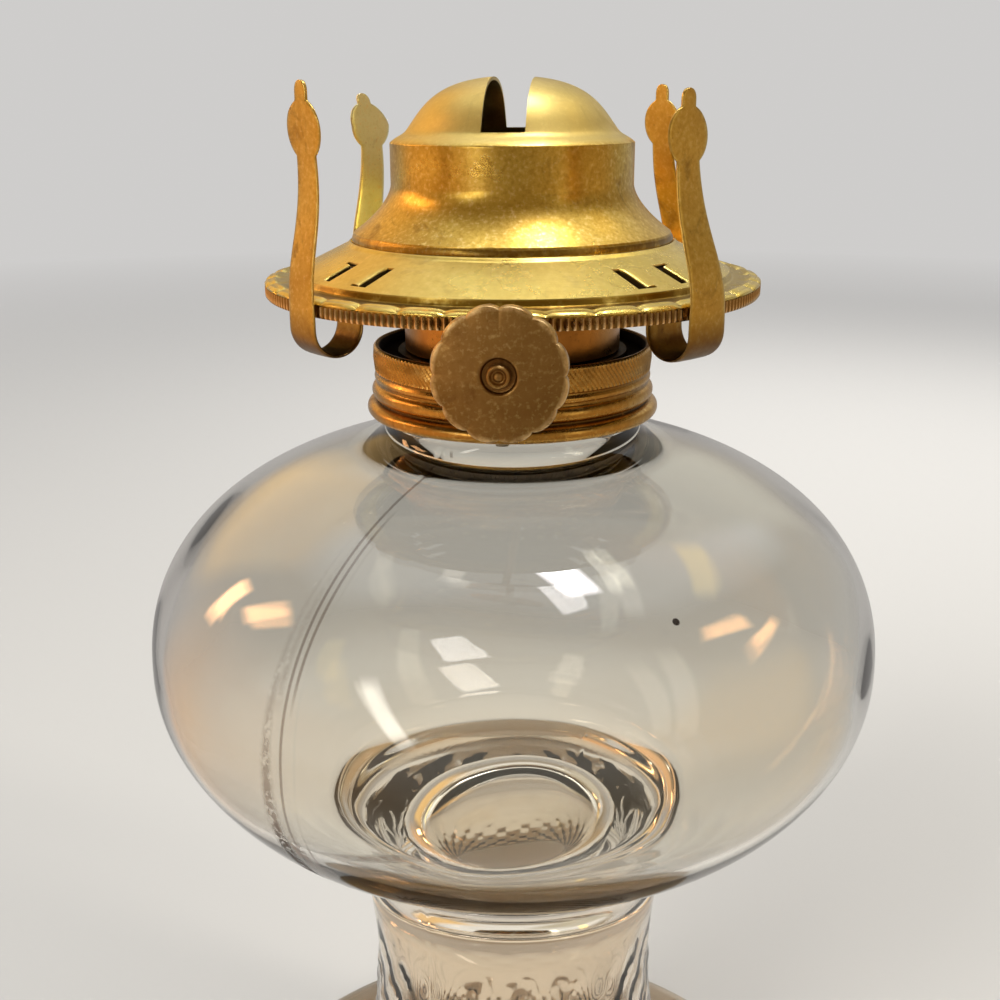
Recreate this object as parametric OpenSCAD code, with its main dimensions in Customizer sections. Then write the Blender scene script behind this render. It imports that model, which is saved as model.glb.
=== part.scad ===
// Pedestal oil lamp with a flat-wick prong burner. Millimetres, +Z up.
// The origin is the middle of the foot, on the table. The raiser shaft runs towards -Y.

/* [Glass foot and stem] */
// Diameter of the foot
foot_d = 120; // [106:1:134]
// Thickness of the foot at its edge
foot_edge_t = 3; // [2:0.5:5]
// Width of the flat ring that the foot stands on
foot_ring_w = 2.6; // [1.6:0.2:5]
// Diameter of the stem at its waist
stem_d = 51.4; // [46:0.2:58]
// Height of the waist above the table
stem_waist_h = 54; // [46:1:60]
// Thickness of the stem wall
stem_wall = 4; // [3:0.5:6]

/* [Glass font] */
// Diameter of the font at its widest ring
font_d = 121.2; // [114:0.2:130]
// Height of the widest ring above the table
font_mid_h = 117; // [113:1:124]
// Height of the font above its widest ring
font_up_h = 36.7; // [34:0.1:40]
// Depth of the font below its widest ring
font_down_h = 37.2; // [35:0.1:40]
// Thickness of the glass at the widest ring
font_wall = 2.6; // [2:0.1:4]
// Thickness of the glass at the bottom of the font
font_floor_t = 5.2; // [4:0.2:7]
// Outer diameter of the neck
neck_d = 41.2; // [40:0.2:42]
// Bore of the mouth
mouth_d = 33.8; // [33.6:0.2:35]
// Height of the lip above the top of the font
neck_rise = 11.3; // [11:0.1:14]

/* [Collar] */
// Height of the collar
collar_h = 11.1; // [10.6:0.1:12]
// Diameter of the knurled band of the collar
collar_d = 45; // [44.4:0.2:47]
// How far the rolled flange stands out past the knurled band
flange_out = 1.1; // [0.6:0.1:2]
// Depth of the recess between the top of the collar and its floor
collar_recess = 1.7; // [1.2:0.1:2.4]
// Diameter of the threaded hole
thread_hole_d = 32.2; // [32:0.1:32.6]
// Depth of the threaded hole
thread_depth = 7; // [6.5:0.5:8]
// Thickness of the plaster between the lip and the collar floor
plaster_t = 0.8; // [0.5:0.1:1.5]
// Thickness of the brass sheet
sheet = 0.5; // [0.4:0.05:0.6]

/* [Burner body] */
// Outer diameter of the upper cup
cup_d = 34.5; // [33.8:0.1:35.5]
// Height of the cup above the collar floor
cup_h = 10.7; // [10.2:0.1:12]
// Depth of the cup below the collar floor
cup_drop = 7.2; // [6.8:0.1:8]
// Wall of the threaded shell
shell_t = 0.6; // [0.4:0.1:0.8]
// Height of the air basket between the cup and the gallery
basket_h = 6.75; // [6:0.25:8]
// Diameter of the air holes
air_hole_d = 1.8; // [1.2:0.1:2.2]
// Air holes in the outer row
air_holes = 28; // [16:1:32]
// Bore of the vent tube
vent_d = 1.8; // [1.2:0.1:2.2]

/* [Wick and raiser] */
// Width of the wick
wick_w = 25; // [23:0.5:25.6]
// Thickness of the wick
wick_t = 2; // [1.6:0.1:2.2]
// Thickness of the space inside the wick tube
tube_gap = 2.8; // [2.6:0.1:3.2]
// Wall of the wick tube
tube_wall = 0.4; // [0.3:0.05:0.5]
// Height of the raiser shaft above the collar floor
shaft_h = 5.8; // [5.4:0.1:6]
// Diameter of the raiser shaft
shaft_d = 1.9; // [1.6:0.1:2.1]
// Distance from the lamp's axis to the thumb wheel
wheel_reach = 46; // [44.5:0.5:52]
// Diameter of the thumb wheel
wheel_d = 18; // [15:0.5:20]
// Lobes round the thumb wheel
wheel_lobes = 12; // [8:1:16]
// Diameter of a spur wheel over its teeth
spur_d = 5; // [4.6:0.1:5.4]
// Teeth of a spur wheel
spur_teeth = 9; // [6:1:12]
// Thickness of a spur wheel
spur_t = 0.8; // [0.6:0.1:1.2]
// Distance between two spur wheels
spur_step = 7.5; // [6:0.5:8.5]

/* [Gallery] */
// Outer diameter over the serrated band
gallery_d = 77.6; // [77:0.2:78.2]
// Radius at which the cone of the gallery ends
cone_r = 34; // [33.4:0.2:34.6]
// Drop of the cone from the seam to its lower edge
cone_drop = 4.35; // [3.6:0.1:4.6]
// Step from the cone down to the chimney seat
cone_step = 0.8; // [0.5:0.1:1.2]
// Height of the serrated band
band_h = 1.8; // [1.5:0.1:2.3]
// Serrations round the band
band_teeth = 120; // [90:2:150]
// Scallops round the rim
rim_scallops = 36; // [24:1:44]
// Width of a lanced slot
slot_w = 1; // [0.7:0.1:1.4]
// Distance from a prong's middle to each lanced slot
slot_off = 5; // [4.6:0.1:5.4]

/* [Dome] */
// Radius of the dome's lip on the seam
dome_lip_r = 25.1; // [24.8:0.1:25.8]
// Radius of the upright band of the dome
dome_band_r = 18.85; // [18:0.1:20]
// Height of the shoulder above the seam
dome_shoulder_h = 14.65; // [13.5:0.1:16]
// Height of the dome's top above the shoulder
dome_cap_h = 9.8; // [8.5:0.1:11]
// Width of the flame slot
flame_w = 6.8; // [6.2:0.1:8]
// Height of the bottom of the flame slot above the shoulder
flame_lift = 1.8; // [1.2:0.1:2.6]

/* [Prongs] */
// Thickness of the prong strip
prong_t = 0.55; // [0.4:0.05:0.6]
// Width of a prong at its bottom loop
prong_w = 7.8; // [7.2:0.1:8]
// Width of a prong at its neck
prong_neck_w = 5.1; // [4:0.1:5.8]
// Diameter of the round head
head_d = 8; // [7:0.2:9]
// Height of the middle of the head above the seam
head_h = 16.55; // [15:0.1:18]
// Height of the tip above the middle of the head
tip_h = 6.5; // [5.5:0.1:7.5]
// Radius at which the prongs stand at their heads
head_r = 36.2; // [35.6:0.1:37]
// How far below the band the loop reaches
loop_drop = 5.7; // [5.4:0.1:6.1]
// Turn of the set of prongs from the diagonals, in degrees
prong_turn = 3.3; // [-8:0.1:8]

/* [Hidden] */
$fn = 72;

// clearances
run_gap = 0.3;       // between pieces that move past each other
seat_gap = 0.2;      // under a flange that is screwed down
fit_gap = 0.02;      // round a piece that is pressed in
bore_gap = 0.05;     // round the turning shaft
eps = 0.01;

// glass section
foot_r = foot_d/2;
stem_r = stem_d/2;
font_r = font_d/2;
neck_r = neck_d/2;
mouth_r = mouth_d/2;
up_n = 2.31;         // roundness of the font above the widest ring, 2 is an ellipse
down_n = 2.04;
floor_n = 2.2;
stem_join_r = stem_r + 8.3;
neck_join_r = neck_r + 6.4;
lip_z = font_mid_h + font_up_h + neck_rise;
stem_cap_h = 11;     // height of the rounded end of the hollow in the stem
glass_floor_z = font_mid_h - font_down_h + font_floor_t;
hollow_top_z = font_mid_h - font_down_h - 4.6;

// levels up the collar and the burner
collar_floor_z = lip_z + plaster_t;
seat_z = collar_floor_z + sheet;
collar_top_z = seat_z + collar_recess;
flange_z = collar_top_z - collar_h;
shell_flange_t = 0.5;
ledge_z = seat_z + seat_gap + shell_flange_t + run_gap;
shaft_z = seat_z + shaft_h;
cup_top_z = seat_z + cup_h;
seam_z = cup_top_z + basket_h + sheet;
shoulder_z = seam_z + dome_shoulder_h;
dome_top_z = shoulder_z + dome_cap_h;
flame_z = shoulder_z + flame_lift;

// collar and threaded shell
collar_r = collar_d/2;
thread_hole_r = thread_hole_d/2;
collar_in_r = collar_r - 1.2;
shell_r = thread_hole_r - run_gap;
shell_in_r = shell_r - shell_t;
shell_len = thread_depth - 0.5;
shell_flange_r = shell_r + 2.6;
cup_low_r = shell_in_r - run_gap;
cup_r = cup_d/2;

// wick tube and raiser
tube_in_w = wick_w + 1.2;
tube_out_w = tube_in_w + 2*tube_wall;
tube_out_t = tube_gap + 2*tube_wall;
tube_bottom_z = seat_z - cup_drop - 2.2;
tube_top_z = flame_z - 1.2;
wick_top_z = tube_top_z - 1;
wick_bottom_z = tube_bottom_z - 3;
wick_x = tube_out_t/2 - tube_wall - run_gap - wick_t/2 - 0.3;
shaft_r = shaft_d/2;
spur_r = spur_d/2;
shaft_x = wick_x + wick_t/2 + run_gap/2 + spur_r;
shaft_bore_r = shaft_r + bore_gap;
box_end = spur_step + 3.2;
box_half_h = spur_r + 0.9;
box_wall = 0.4;
box_x = shaft_x + spur_r + 0.5;
shaft_tail = box_end + box_wall + 0.3;
wheel_r = wheel_d/2;

// gallery and dome
gallery_r = gallery_d/2;
cone_in_r = dome_lip_r - 0.2;
cone_slope = cone_drop/(cone_r - dome_lip_r);
rim_z = seam_z - cone_drop - cone_step;
band_top_z = rim_z - 0.95;
band_z = band_top_z - band_h;
tooth = 0.25;
band_root_r = gallery_r - tooth - 0.05;
ring_in_r = dome_lip_r - 2.6;

// prongs
prong_az = [-45, 45, -135, 135];
leg_r = 31.4;        // inner leg of the loop
tongue_in_r = leg_r - 4.6;
tongue_out_r = leg_r - 1;
ear_in_r = leg_r - 2.6;
slot_out_r = leg_r + 1.6;
strip_r = gallery_r + run_gap + prong_t/2 + 0.5;
loop_r = (strip_r - leg_r)/2;
loop_z = band_z - loop_drop + loop_r;
tongue_w = 4.6;
tongue_drop = (sheet + prong_t/2)*sqrt(1 + cone_slope^2) + run_gap + 0.1;
head_z = seam_z + head_h;
neck_z = head_z - 3.3;

function bez(a, b, c, d, n) = [for (i = [0:n]) let (t = i/n, s = 1 - t)
    s^3*a + 3*s^2*t*b + 3*s*t^2*c + t^3*d];
function backwards(p) = [for (i = [len(p) - 1:-1:0]) p[i]];
// quarter of a rounded outline from its widest point to radius r_end
function bulge(r, h, n, r_end, steps) = let (a_end = acos(pow(r_end/r, n/2)))
    [for (i = [0:steps]) let (a = a_end*i/steps) [r*pow(cos(a), 2/n), h*pow(sin(a), 2/n)]];
function lift(p, z) = [for (q = p) [q[0], q[1] + z]];
function drop(p, z) = [for (q = p) [q[0], z - q[1]]];
function slope_at_end(p) = let (n = len(p) - 1, d = p[n] - p[n - 1]) d/norm(d);
function normal_at(p, i) = let (d = p[min(i + 1, len(p) - 1)] - p[max(i - 1, 0)]) [-d[1], d[0]]/norm(d);
// outline of a bent strip of thickness t along the path p
function strip(p, t) = concat(
    [for (i = [0:len(p) - 1]) p[i] + normal_at(p, i)*t/2],
    [for (i = [len(p) - 1:-1:0]) p[i] - normal_at(p, i)*t/2]);
function cone_z(r) = seam_z - cone_slope*(r - dome_lip_r);

module revolve(p) { rotate_extrude($fn = 120) polygon(p); }
module ring(r_out, r_in, h) { difference() { cylinder(r = r_out, h = h); hole(r_in, h); } }
module hole(r, h) { translate([0, 0, -1]) cylinder(r = r, h = h + 2); }
module along_y(x, z, y0, y1, r) { translate([x, y0, z]) rotate([-90, 0, 0]) cylinder(r = r, h = y1 - y0, $fn = 32); }
// turns a child that is built along +X to an azimuth counted from the front
module at_azimuth(a) { rotate([0, 0, a - 90]) children(); }

// glass: foot, stem and font in one piece, hollow above and below
module lamp_glass() {
    upper = bulge(font_r, font_up_h, up_n, neck_join_r, 18);
    lower = bulge(font_r, font_down_h, down_n, stem_join_r, 16);
    neck_start = lift(upper, font_mid_h)[len(upper) - 1];
    stem_end = drop(lower, font_mid_h)[len(lower) - 1];
    in_dir = slope_at_end(upper);
    out_dir = slope_at_end(lower);
    neck_foot_z = lip_z - 9.2;
    outer = concat(
        [[foot_r, 0]],
        bez([foot_r, foot_edge_t], [foot_r*0.6, foot_edge_t + 5], [stem_r + 1.4, 17],
            [stem_r, stem_waist_h], 14),
        bez([stem_r, stem_waist_h + 2], [stem_r + 0.2, stem_end[1] - 14],
            stem_end + 5*[out_dir[0], -out_dir[1]], stem_end, 8),
        backwards(drop(lower, font_mid_h)),
        lift(upper, font_mid_h),
        bez(neck_start + 0.3*in_dir, neck_start + 3*in_dir, [neck_r, neck_foot_z - 2.4],
            [neck_r, neck_foot_z], 6),
        [[neck_r, lip_z - 0.7], [neck_r - 0.7, lip_z], [mouth_r + 0.5, lip_z], [mouth_r, lip_z - 0.5]]);
    inside_up = bulge(font_r - font_wall, font_up_h - font_wall, up_n, mouth_r, 18);
    inside_down = bulge(font_r - font_wall, font_down_h - font_floor_t, floor_n, 0, 18);
    under = concat(
        [[0, hollow_top_z]],
        bez([9, hollow_top_z - 0.6], [16, hollow_top_z - 1.5], [stem_r - stem_wall, hollow_top_z - 5],
            [stem_r - stem_wall, hollow_top_z - stem_cap_h], 5),
        bez([stem_r - stem_wall, stem_waist_h - 4], [stem_r - stem_wall + 1, 14],
            [foot_r*0.56, foot_edge_t + 2], [foot_r - foot_ring_w, 0], 14));
    color("wheat", 0.5) revolve(concat(under, outer,
        backwards(lift(inside_up, font_mid_h)), drop(inside_down, font_mid_h)));
}

// screw collar set on the neck: a drawn cup with a knurled band, two beads and a rolled flange
module collar() {
    bead_r = 1.25;
    bead_z = collar_top_z - 7.3;
    bead_x = collar_r - 0.95;
    color("goldenrod") revolve(concat(
        [[thread_hole_r, seat_z - thread_depth], [thread_hole_r, seat_z],
         [collar_in_r + 0.1, seat_z], [collar_in_r + 0.1, collar_top_z - 0.3],
         [collar_in_r + 0.4, collar_top_z], [collar_r - 0.4, collar_top_z],
         [collar_r - 0.15, collar_top_z - 0.3], [collar_r, collar_top_z - 2],
         [collar_r - 0.25, collar_top_z - 4], [collar_r - 0.6, collar_top_z - 4.3],
         [collar_r - 0.2, collar_top_z - 4.7], [collar_r - 0.2, collar_top_z - 5.3],
         [collar_r - 0.6, collar_top_z - 5.7]],
        [for (a = [70:-20:-70]) [bead_x + bead_r*cos(a), bead_z + bead_r*sin(a)]],
        [[collar_r - 0.45, flange_z + 2.3], [collar_r + 0.5, flange_z + 2.05],
         [collar_r + flange_out, flange_z + 1.5], [collar_r + flange_out, flange_z + 0.6],
         [collar_r + flange_out - 0.5, flange_z], [collar_r - 0.1, flange_z],
         [collar_in_r, flange_z + 0.9], [collar_in_r, collar_floor_z],
         [thread_hole_r + sheet, collar_floor_z], [thread_hole_r + sheet, seat_z - thread_depth]]));
}

// plaster between the neck and the collar
module collar_plaster() {
    color("gainsboro") revolve([
        [neck_r, flange_z + 1.2], [collar_in_r, flange_z + 1.2], [collar_in_r, collar_floor_z],
        [mouth_r + 0.5, collar_floor_z], [mouth_r + 0.5, lip_z], [neck_r - 0.7, lip_z], [neck_r, lip_z - 0.7]]);
}

// threaded shell that screws into the collar
module thread_shell() {
    low_z = seat_z + seat_gap;
    color("darkgoldenrod") revolve([
        [shell_in_r, seat_z - shell_len], [shell_r, seat_z - shell_len], [shell_r, low_z],
        [shell_flange_r, low_z], [shell_flange_r, low_z + shell_flange_t],
        [shell_in_r, low_z + shell_flange_t]]);
}

module tube_section(w, t) {
    square([t, w - t], center = true);
    for (s = [-1, 1]) translate([0, s*(w - t)/2]) circle(d = t, $fn = 32);
}
module tube_slot(z0, z1, gap) {
    translate([0, 0, z0]) linear_extrude(z1 - z0)
        tube_section(tube_out_w + 2*gap, tube_out_t + 2*gap);
}

// drawn cup: floor low in the neck, a ledge over the shell and the wide upper wall
module burner_cup() {
    floor_z = seat_z - cup_drop;
    color("saddlebrown") difference() {
        revolve([
            [0, floor_z], [cup_low_r, floor_z], [cup_low_r, ledge_z], [cup_r, ledge_z],
            [cup_r, cup_top_z], [cup_r - sheet, cup_top_z], [cup_r - sheet, ledge_z + sheet],
            [cup_low_r - sheet, ledge_z + sheet], [cup_low_r - sheet, floor_z + sheet], [0, floor_z + sheet]]);
        tube_slot(floor_z - 1, floor_z + sheet + 1, fit_gap);
        translate([-vent_x, vent_y, floor_z - 1]) cylinder(r = vent_r + fit_gap, h = sheet + 2, $fn = 32);
        along_y(shaft_x, shaft_z, -cup_r - 1, 0, bush_r + fit_gap);
    }
}

// perforated basket under the gallery, which guides the wick tube
module air_basket() {
    wall_r = cone_in_r - 0.3;
    corner = 3.4;
    outer = [for (a = [-90:15:0]) [wall_r - corner + corner*cos(a), cup_top_z + corner + corner*sin(a)]];
    inner = [for (a = [0:-15:-90]) [wall_r - corner + (corner - sheet)*cos(a),
                                    cup_top_z + corner + (corner - sheet)*sin(a)]];
    color("peru") difference() {
        revolve(concat([[0, cup_top_z]], outer, [[wall_r, seam_z - sheet], [wall_r - sheet, seam_z - sheet]],
            inner, [[0, cup_top_z + sheet]]));
        tube_slot(cup_top_z - 1, cup_top_z + sheet + 1, fit_gap);
        for (i = [0:air_holes - 1]) rotate([0, 0, 360*i/air_holes]) air_hole(cup_r + 2.6);
        for (i = [0:15]) rotate([0, 0, 360*(i + 0.5)/16])
            if (abs(sin(360*(i + 0.5)/16)) < 0.8) air_hole(13);
        for (s = [-1, 1], j = [-1:1]) translate([s*7.6, j*4.6, 0]) air_hole(0);
    }
}
module air_hole(r) { translate([r, 0, cup_top_z - 1]) cylinder(d = air_hole_d, h = sheet + 2, $fn = 24); }

// flat tube for the wick, with a window for each spur wheel
module wick_tube() {
    color("darkkhaki") difference() {
        tube_slot(tube_bottom_z, tube_top_z, 0);
        translate([0, 0, tube_bottom_z - 1]) linear_extrude(tube_top_z - tube_bottom_z + 2)
            tube_section(tube_in_w, tube_gap);
        for (j = [-1:1]) translate([0, j*spur_step - spur_t/2 - run_gap, shaft_z - spur_r])
            cube([tube_out_t, spur_t + 2*run_gap, 2*spur_r]);
    }
}

// sheet housing over the spur wheels, with the shaft's bearings in its ends
module ratchet_box() {
    x0 = tube_out_t/2;
    color("tan") difference() {
        translate([x0, -box_end - box_wall, shaft_z - box_half_h - box_wall])
            cube([box_x + box_wall - x0, 2*(box_end + box_wall), 2*(box_half_h + box_wall)]);
        translate([x0 - 1, -box_end, shaft_z - box_half_h]) cube([box_x - x0 + 1, 2*box_end, 2*box_half_h]);
        along_y(shaft_x, shaft_z, -box_end - 2, box_end + 2, shaft_bore_r);
    }
}

vent_r = vent_d/2 + 0.4;
vent_x = tube_out_t/2 + vent_r + 2;
vent_y = 6;
// tube that lets air into the font as the oil goes down
module vent_tube() {
    color("darkkhaki") translate([-vent_x, vent_y, seat_z - cup_drop - 1]) difference() {
        cylinder(r = vent_r, h = cup_drop + 4, $fn = 32);
        translate([0, 0, -1]) cylinder(d = vent_d, h = cup_drop + 6, $fn = 32);
    }
}

bush_r = shaft_bore_r + 0.8;
// bush that carries the shaft through the wall of the cup
module shaft_bush() {
    wall_y = -sqrt((cup_r - sheet)^2 - shaft_x^2);
    color("gold") difference() {
        union() {
            along_y(shaft_x, shaft_z, wall_y - 2.6, wall_y + 1.6, bush_r);
            along_y(shaft_x, shaft_z, wall_y - 2.2, wall_y - 1.6, bush_r + 0.7);
        }
        along_y(shaft_x, shaft_z, wall_y - 4, wall_y + 3, shaft_bore_r);
    }
}

// chimney gallery: cone, seat, scalloped rim and serrated band, with lanced ears for the prongs
module gallery() {
    slant = sheet*sqrt(1 + cone_slope^2);
    rim_in_r = gallery_r - 1.3;
    color("goldenrod") {
        difference() {
            revolve([
                [ring_in_r, seam_z - sheet], [cone_in_r, seam_z - sheet],
                [cone_r - 0.3, cone_z(cone_r - 0.3) - slant], [cone_r - 0.1, rim_z - sheet],
                [rim_in_r, rim_z - sheet], [rim_in_r + 0.5, band_top_z - 0.6], [gallery_r - 0.7, band_z],
                [band_root_r, band_z], [band_root_r, band_top_z], [gallery_r, band_top_z + 0.1],
                [gallery_r, rim_z + 0.15], [gallery_r - 0.35, rim_z + 0.55], [gallery_r - 0.9, rim_z + 0.55],
                [rim_in_r, rim_z], [cone_r + 0.4, rim_z], [cone_r, cone_z(cone_r)],
                [dome_lip_r, seam_z], [ring_in_r, seam_z]]);
            for (i = [0:rim_scallops - 1]) rotate([0, 0, 360*i/rim_scallops])
                translate([gallery_r - 0.75, 0, rim_z + 2.15]) rotate([0, 90, 0])
                    cylinder(r = 1.9, h = 2, $fn = 24);
            for (a = prong_az, s = [-1, 1]) at_azimuth(a + prong_turn)
                translate([ear_in_r - 0.4, s*slot_off - slot_w/2, seam_z - cone_drop - 2])
                    cube([slot_out_r - ear_in_r + 0.4, slot_w, cone_drop + 3]);
        }
        serrated_band();
        for (a = prong_az, s = [-1, 1]) at_azimuth(a + prong_turn) ear(s);
    }
}
module serrated_band() {
    difference() {
        translate([0, 0, band_z + 0.06]) linear_extrude(band_h - 0.02) polygon([for (i = [0:2*band_teeth - 1])
            let (a = 180*i/band_teeth, r = gallery_r - (i % 2 == 0 ? 0 : tooth)) [r*cos(a), r*sin(a)]]);
        translate([0, 0, band_z - 1]) cylinder(r = band_root_r - 0.15, h = band_h + 2);
    }
}
// lanced ear: a leg bent down inside the slot and a toe turned in under the prong's tongue
module ear(s) {
    leg_y = s*(slot_off - slot_w/2 + sheet/2);
    toe_y = s*(tongue_w/2 - 1);
    toe_len = 1;
    toe_z = cone_z(ear_in_r + toe_len) - tongue_drop - prong_t - run_gap - sheet;
    leg_bottom_z = cone_z(slot_out_r) - sheet - 0.4;
    translate([ear_in_r, min(leg_y, toe_y) - sheet/2, toe_z]) cube([toe_len, abs(leg_y - toe_y) + sheet, sheet]);
    intersection() {
        union() {
            translate([ear_in_r, leg_y - sheet/2, toe_z]) cube([toe_len, sheet, seam_z - toe_z]);
            translate([ear_in_r, leg_y - sheet/2, leg_bottom_z]) cube([3, sheet, seam_z - leg_bottom_z]);
            translate([ear_in_r, leg_y - s*0.3 - sheet/2, cone_z(ear_in_r) - 0.9]) cube([toe_len, sheet, 2]);
        }
        revolve([[20, cone_z(20) - 0.05], [40, cone_z(40) - 0.05], [40, toe_z - 5], [20, toe_z - 5]]);
    }
}

// deflector dome with the flame slot
module dome() {
    flare_top = seam_z + 8.55;
    lip_h = 0.9;
    flare = [for (i = [0:8]) let (t = i/8) [dome_lip_r - 0.35 - (dome_lip_r - 0.35 - dome_band_r)*(1 - (1 - t)^1.7),
                                           seam_z + lip_h + (flare_top - seam_z - lip_h)*t]];
    flange_in_r = dome_band_r - 2.65;
    flange_top_z = shoulder_z + 1.9;
    cap = concat(
        bez([dome_band_r, shoulder_z], [dome_band_r - 1.25, shoulder_z + 1.1],
            [dome_band_r - 1.95, shoulder_z + 1], [flange_in_r, flange_top_z], 4),
        bez([flange_in_r - 0.1, flange_top_z + 0.12], [flange_in_r*0.84, flange_top_z + 3.5],
            [flange_in_r*0.716, dome_top_z], [0, dome_top_z], 12));
    cap_in = concat(
        bez([dome_band_r - sheet, shoulder_z - 0.3], [dome_band_r - 1.5, shoulder_z + 0.55],
            [dome_band_r - 2.3, shoulder_z + 0.5], [flange_in_r - 0.42, flange_top_z - 0.3], 4),
        bez([flange_in_r - 0.52, flange_top_z - 0.18], [flange_in_r*0.84 - 0.4, flange_top_z + 3.1],
            [flange_in_r*0.7, dome_top_z - sheet], [0, dome_top_z - sheet], 12));
    in_flare = [for (p = flare) [p[0] - sheet, p[1] - 0.1]];
    color("darkgoldenrod") difference() {
        revolve(concat([[dome_lip_r, seam_z], [dome_lip_r, seam_z + 0.5]], flare, cap,
            backwards(cap_in), backwards(in_flare), [[dome_lip_r - sheet - 0.35, seam_z]]));
        translate([-flame_w/2, -dome_lip_r, flame_z]) cube([flame_w, 2*dome_lip_r, dome_cap_h + 5]);
    }
}

// spring prong: tongue under the cone, a loop below the rim, the strip outside it and the round head
module prong() {
    path = concat(
        [for (i = [0:2]) let (r = tongue_in_r + (tongue_out_r - tongue_in_r)*i/2) [r, cone_z(r) - tongue_drop]],
        bez([tongue_out_r + 0.5, cone_z(tongue_out_r + 0.5) - tongue_drop - 0.05],
            [leg_r - 0.1, cone_z(leg_r) - tongue_drop - 0.1], [leg_r, cone_z(leg_r) - tongue_drop - 0.6],
            [leg_r, cone_z(leg_r) - tongue_drop - 1.4], 4),
        [for (a = [180:15:360]) [leg_r + loop_r + loop_r*cos(a), loop_z + loop_r*sin(a)]],
        bez([strip_r, band_top_z], [strip_r - 0.3, band_top_z + 6.5], [head_r + 0.1, neck_z - 9],
            [head_r, neck_z], 10),
        [[head_r, head_z + tip_h]]);
    color("chocolate") intersection() {
        difference() {
            rotate([90, 0, 0]) linear_extrude(prong_w + head_d, center = true) polygon(strip(path, prong_t));
            for (s = [-1, 1]) translate([tongue_in_r - 1, s > 0 ? tongue_w/2 : -tongue_w/2 - 9, loop_z + 3.6])
                cube([leg_r - tongue_in_r + 1.6, 9, 20]);
        }
        rotate([90, 0, 90]) linear_extrude(gallery_r + 5) union() {
            polygon([[-prong_w/2, loop_z - loop_r - 1], [prong_w/2, loop_z - loop_r - 1],
                [prong_w/2, loop_z + 1], [prong_neck_w/2, neck_z], [-prong_neck_w/2, neck_z],
                [-prong_w/2, loop_z + 1]]);
            translate([0, head_z]) circle(d = head_d);
            translate([-prong_neck_w/2, neck_z - eps]) square([prong_neck_w, 2]);
            translate([-1.15, head_z]) square([2.3, tip_h - 1.15]);
            translate([0, head_z + tip_h - 1.15]) circle(r = 1.15, $fn = 32);
        }
    }
}
module prong_front_left() { at_azimuth(prong_az[0] + prong_turn) prong(); }
module prong_front_right() { at_azimuth(prong_az[1] + prong_turn) prong(); }
module prong_rear_left() { at_azimuth(prong_az[2] + prong_turn) prong(); }
module prong_rear_right() { at_azimuth(prong_az[3] + prong_turn) prong(); }

// thumb wheel: a dished, lobed disc with its edge turned back and a sunk middle
wheel_sheet = 0.5;
hub_r = 2.35;
wheel_edge = 1.5;
module lobes(r) {
    lobe_r = wheel_r*0.38;
    for (i = [0:wheel_lobes - 1]) rotate(360*i/wheel_lobes) translate([wheel_r - lobe_r, 0])
        circle(r = lobe_r - (wheel_r - r), $fn = 32);
    circle(r = r - 1.5);
}
function dish(r) = -0.6*(r/9)^2;
module thumb_wheel() {
    face = [for (i = [0:8]) let (r = hub_r + 0.5 + (wheel_r + 1 - hub_r - 0.5)*i/8) [r, dish(r)]];
    color("sienna") translate([shaft_x, -wheel_reach, shaft_z]) rotate([90, 0, 0]) difference() {
        union() {
            intersection() {
                revolve(concat([[0, -0.6], [hub_r - 0.2, -0.6]], face,
                    [for (p = backwards(face)) [p[0], p[1] - wheel_sheet]],
                    [[hub_r, -0.6 - wheel_sheet], [0, -0.6 - wheel_sheet]]));
                translate([0, 0, -3]) linear_extrude(5) lobes(wheel_r);
            }
            translate([0, 0, dish(wheel_r) - wheel_edge - 0.1]) difference() {
                linear_extrude(wheel_edge) lobes(wheel_r);
                translate([0, 0, -1]) linear_extrude(wheel_edge + 2) lobes(wheel_r - wheel_sheet);
            }
        }
        translate([0, 0, -3]) cylinder(r = shaft_r + fit_gap, h = 6, $fn = 32);
    }
}

// wire shaft: a riveted head in front of the thumb wheel and a peened tail behind the box
module raiser_shaft() {
    color("darkgoldenrod") {
        along_y(shaft_x, shaft_z, -wheel_reach - 0.2, shaft_tail, shaft_r);
        translate([shaft_x, -wheel_reach + 0.6, shaft_z]) rotate([90, 0, 0])
            revolve([[0, 0], [1.45, 0], [1.45, 0.5], [1.1, 0.95], [0.5, 1.15], [0, 1.2]]);
        along_y(shaft_x, shaft_z, -wheel_reach + 1.12, -wheel_reach + 2, shaft_r + 0.5);
        along_y(shaft_x, shaft_z, shaft_tail, shaft_tail + 0.6, shaft_r + 0.5);
    }
}

// star wheel whose teeth push the wick up and down
module spur_wheel(y) {
    color("darkgray") translate([shaft_x, y + spur_t/2, shaft_z]) rotate([90, 0, 0]) difference() {
        linear_extrude(spur_t) polygon([for (i = [0:2*spur_teeth - 1])
            let (a = 180*i/spur_teeth, r = i % 2 == 0 ? spur_r : spur_r*0.68) [r*cos(a), r*sin(a)]]);
        translate([0, 0, -1]) cylinder(r = shaft_r + fit_gap, h = spur_t + 2, $fn = 32);
    }
}
module spur_wheel_front() { spur_wheel(-spur_step); }
module spur_wheel_middle() { spur_wheel(0); }
module spur_wheel_rear() { spur_wheel(spur_step); }

// flat woven wick
module wick() {
    color("ivory") translate([wick_x, 0, wick_bottom_z]) linear_extrude(wick_top_z - wick_bottom_z)
        tube_section(wick_w, wick_t);
}

lamp_glass();
collar();
collar_plaster();
thread_shell();
burner_cup();
air_basket();
wick_tube();
ratchet_box();
vent_tube();
shaft_bush();
gallery();
dome();
prong_front_left();
prong_front_right();
prong_rear_left();
prong_rear_right();
thumb_wheel();
raiser_shaft();
spur_wheel_front();
spur_wheel_middle();
spur_wheel_rear();
wick();
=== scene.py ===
"""Looks of the pedestal oil lamp: its glass and its brass burner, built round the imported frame."""

import math

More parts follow.
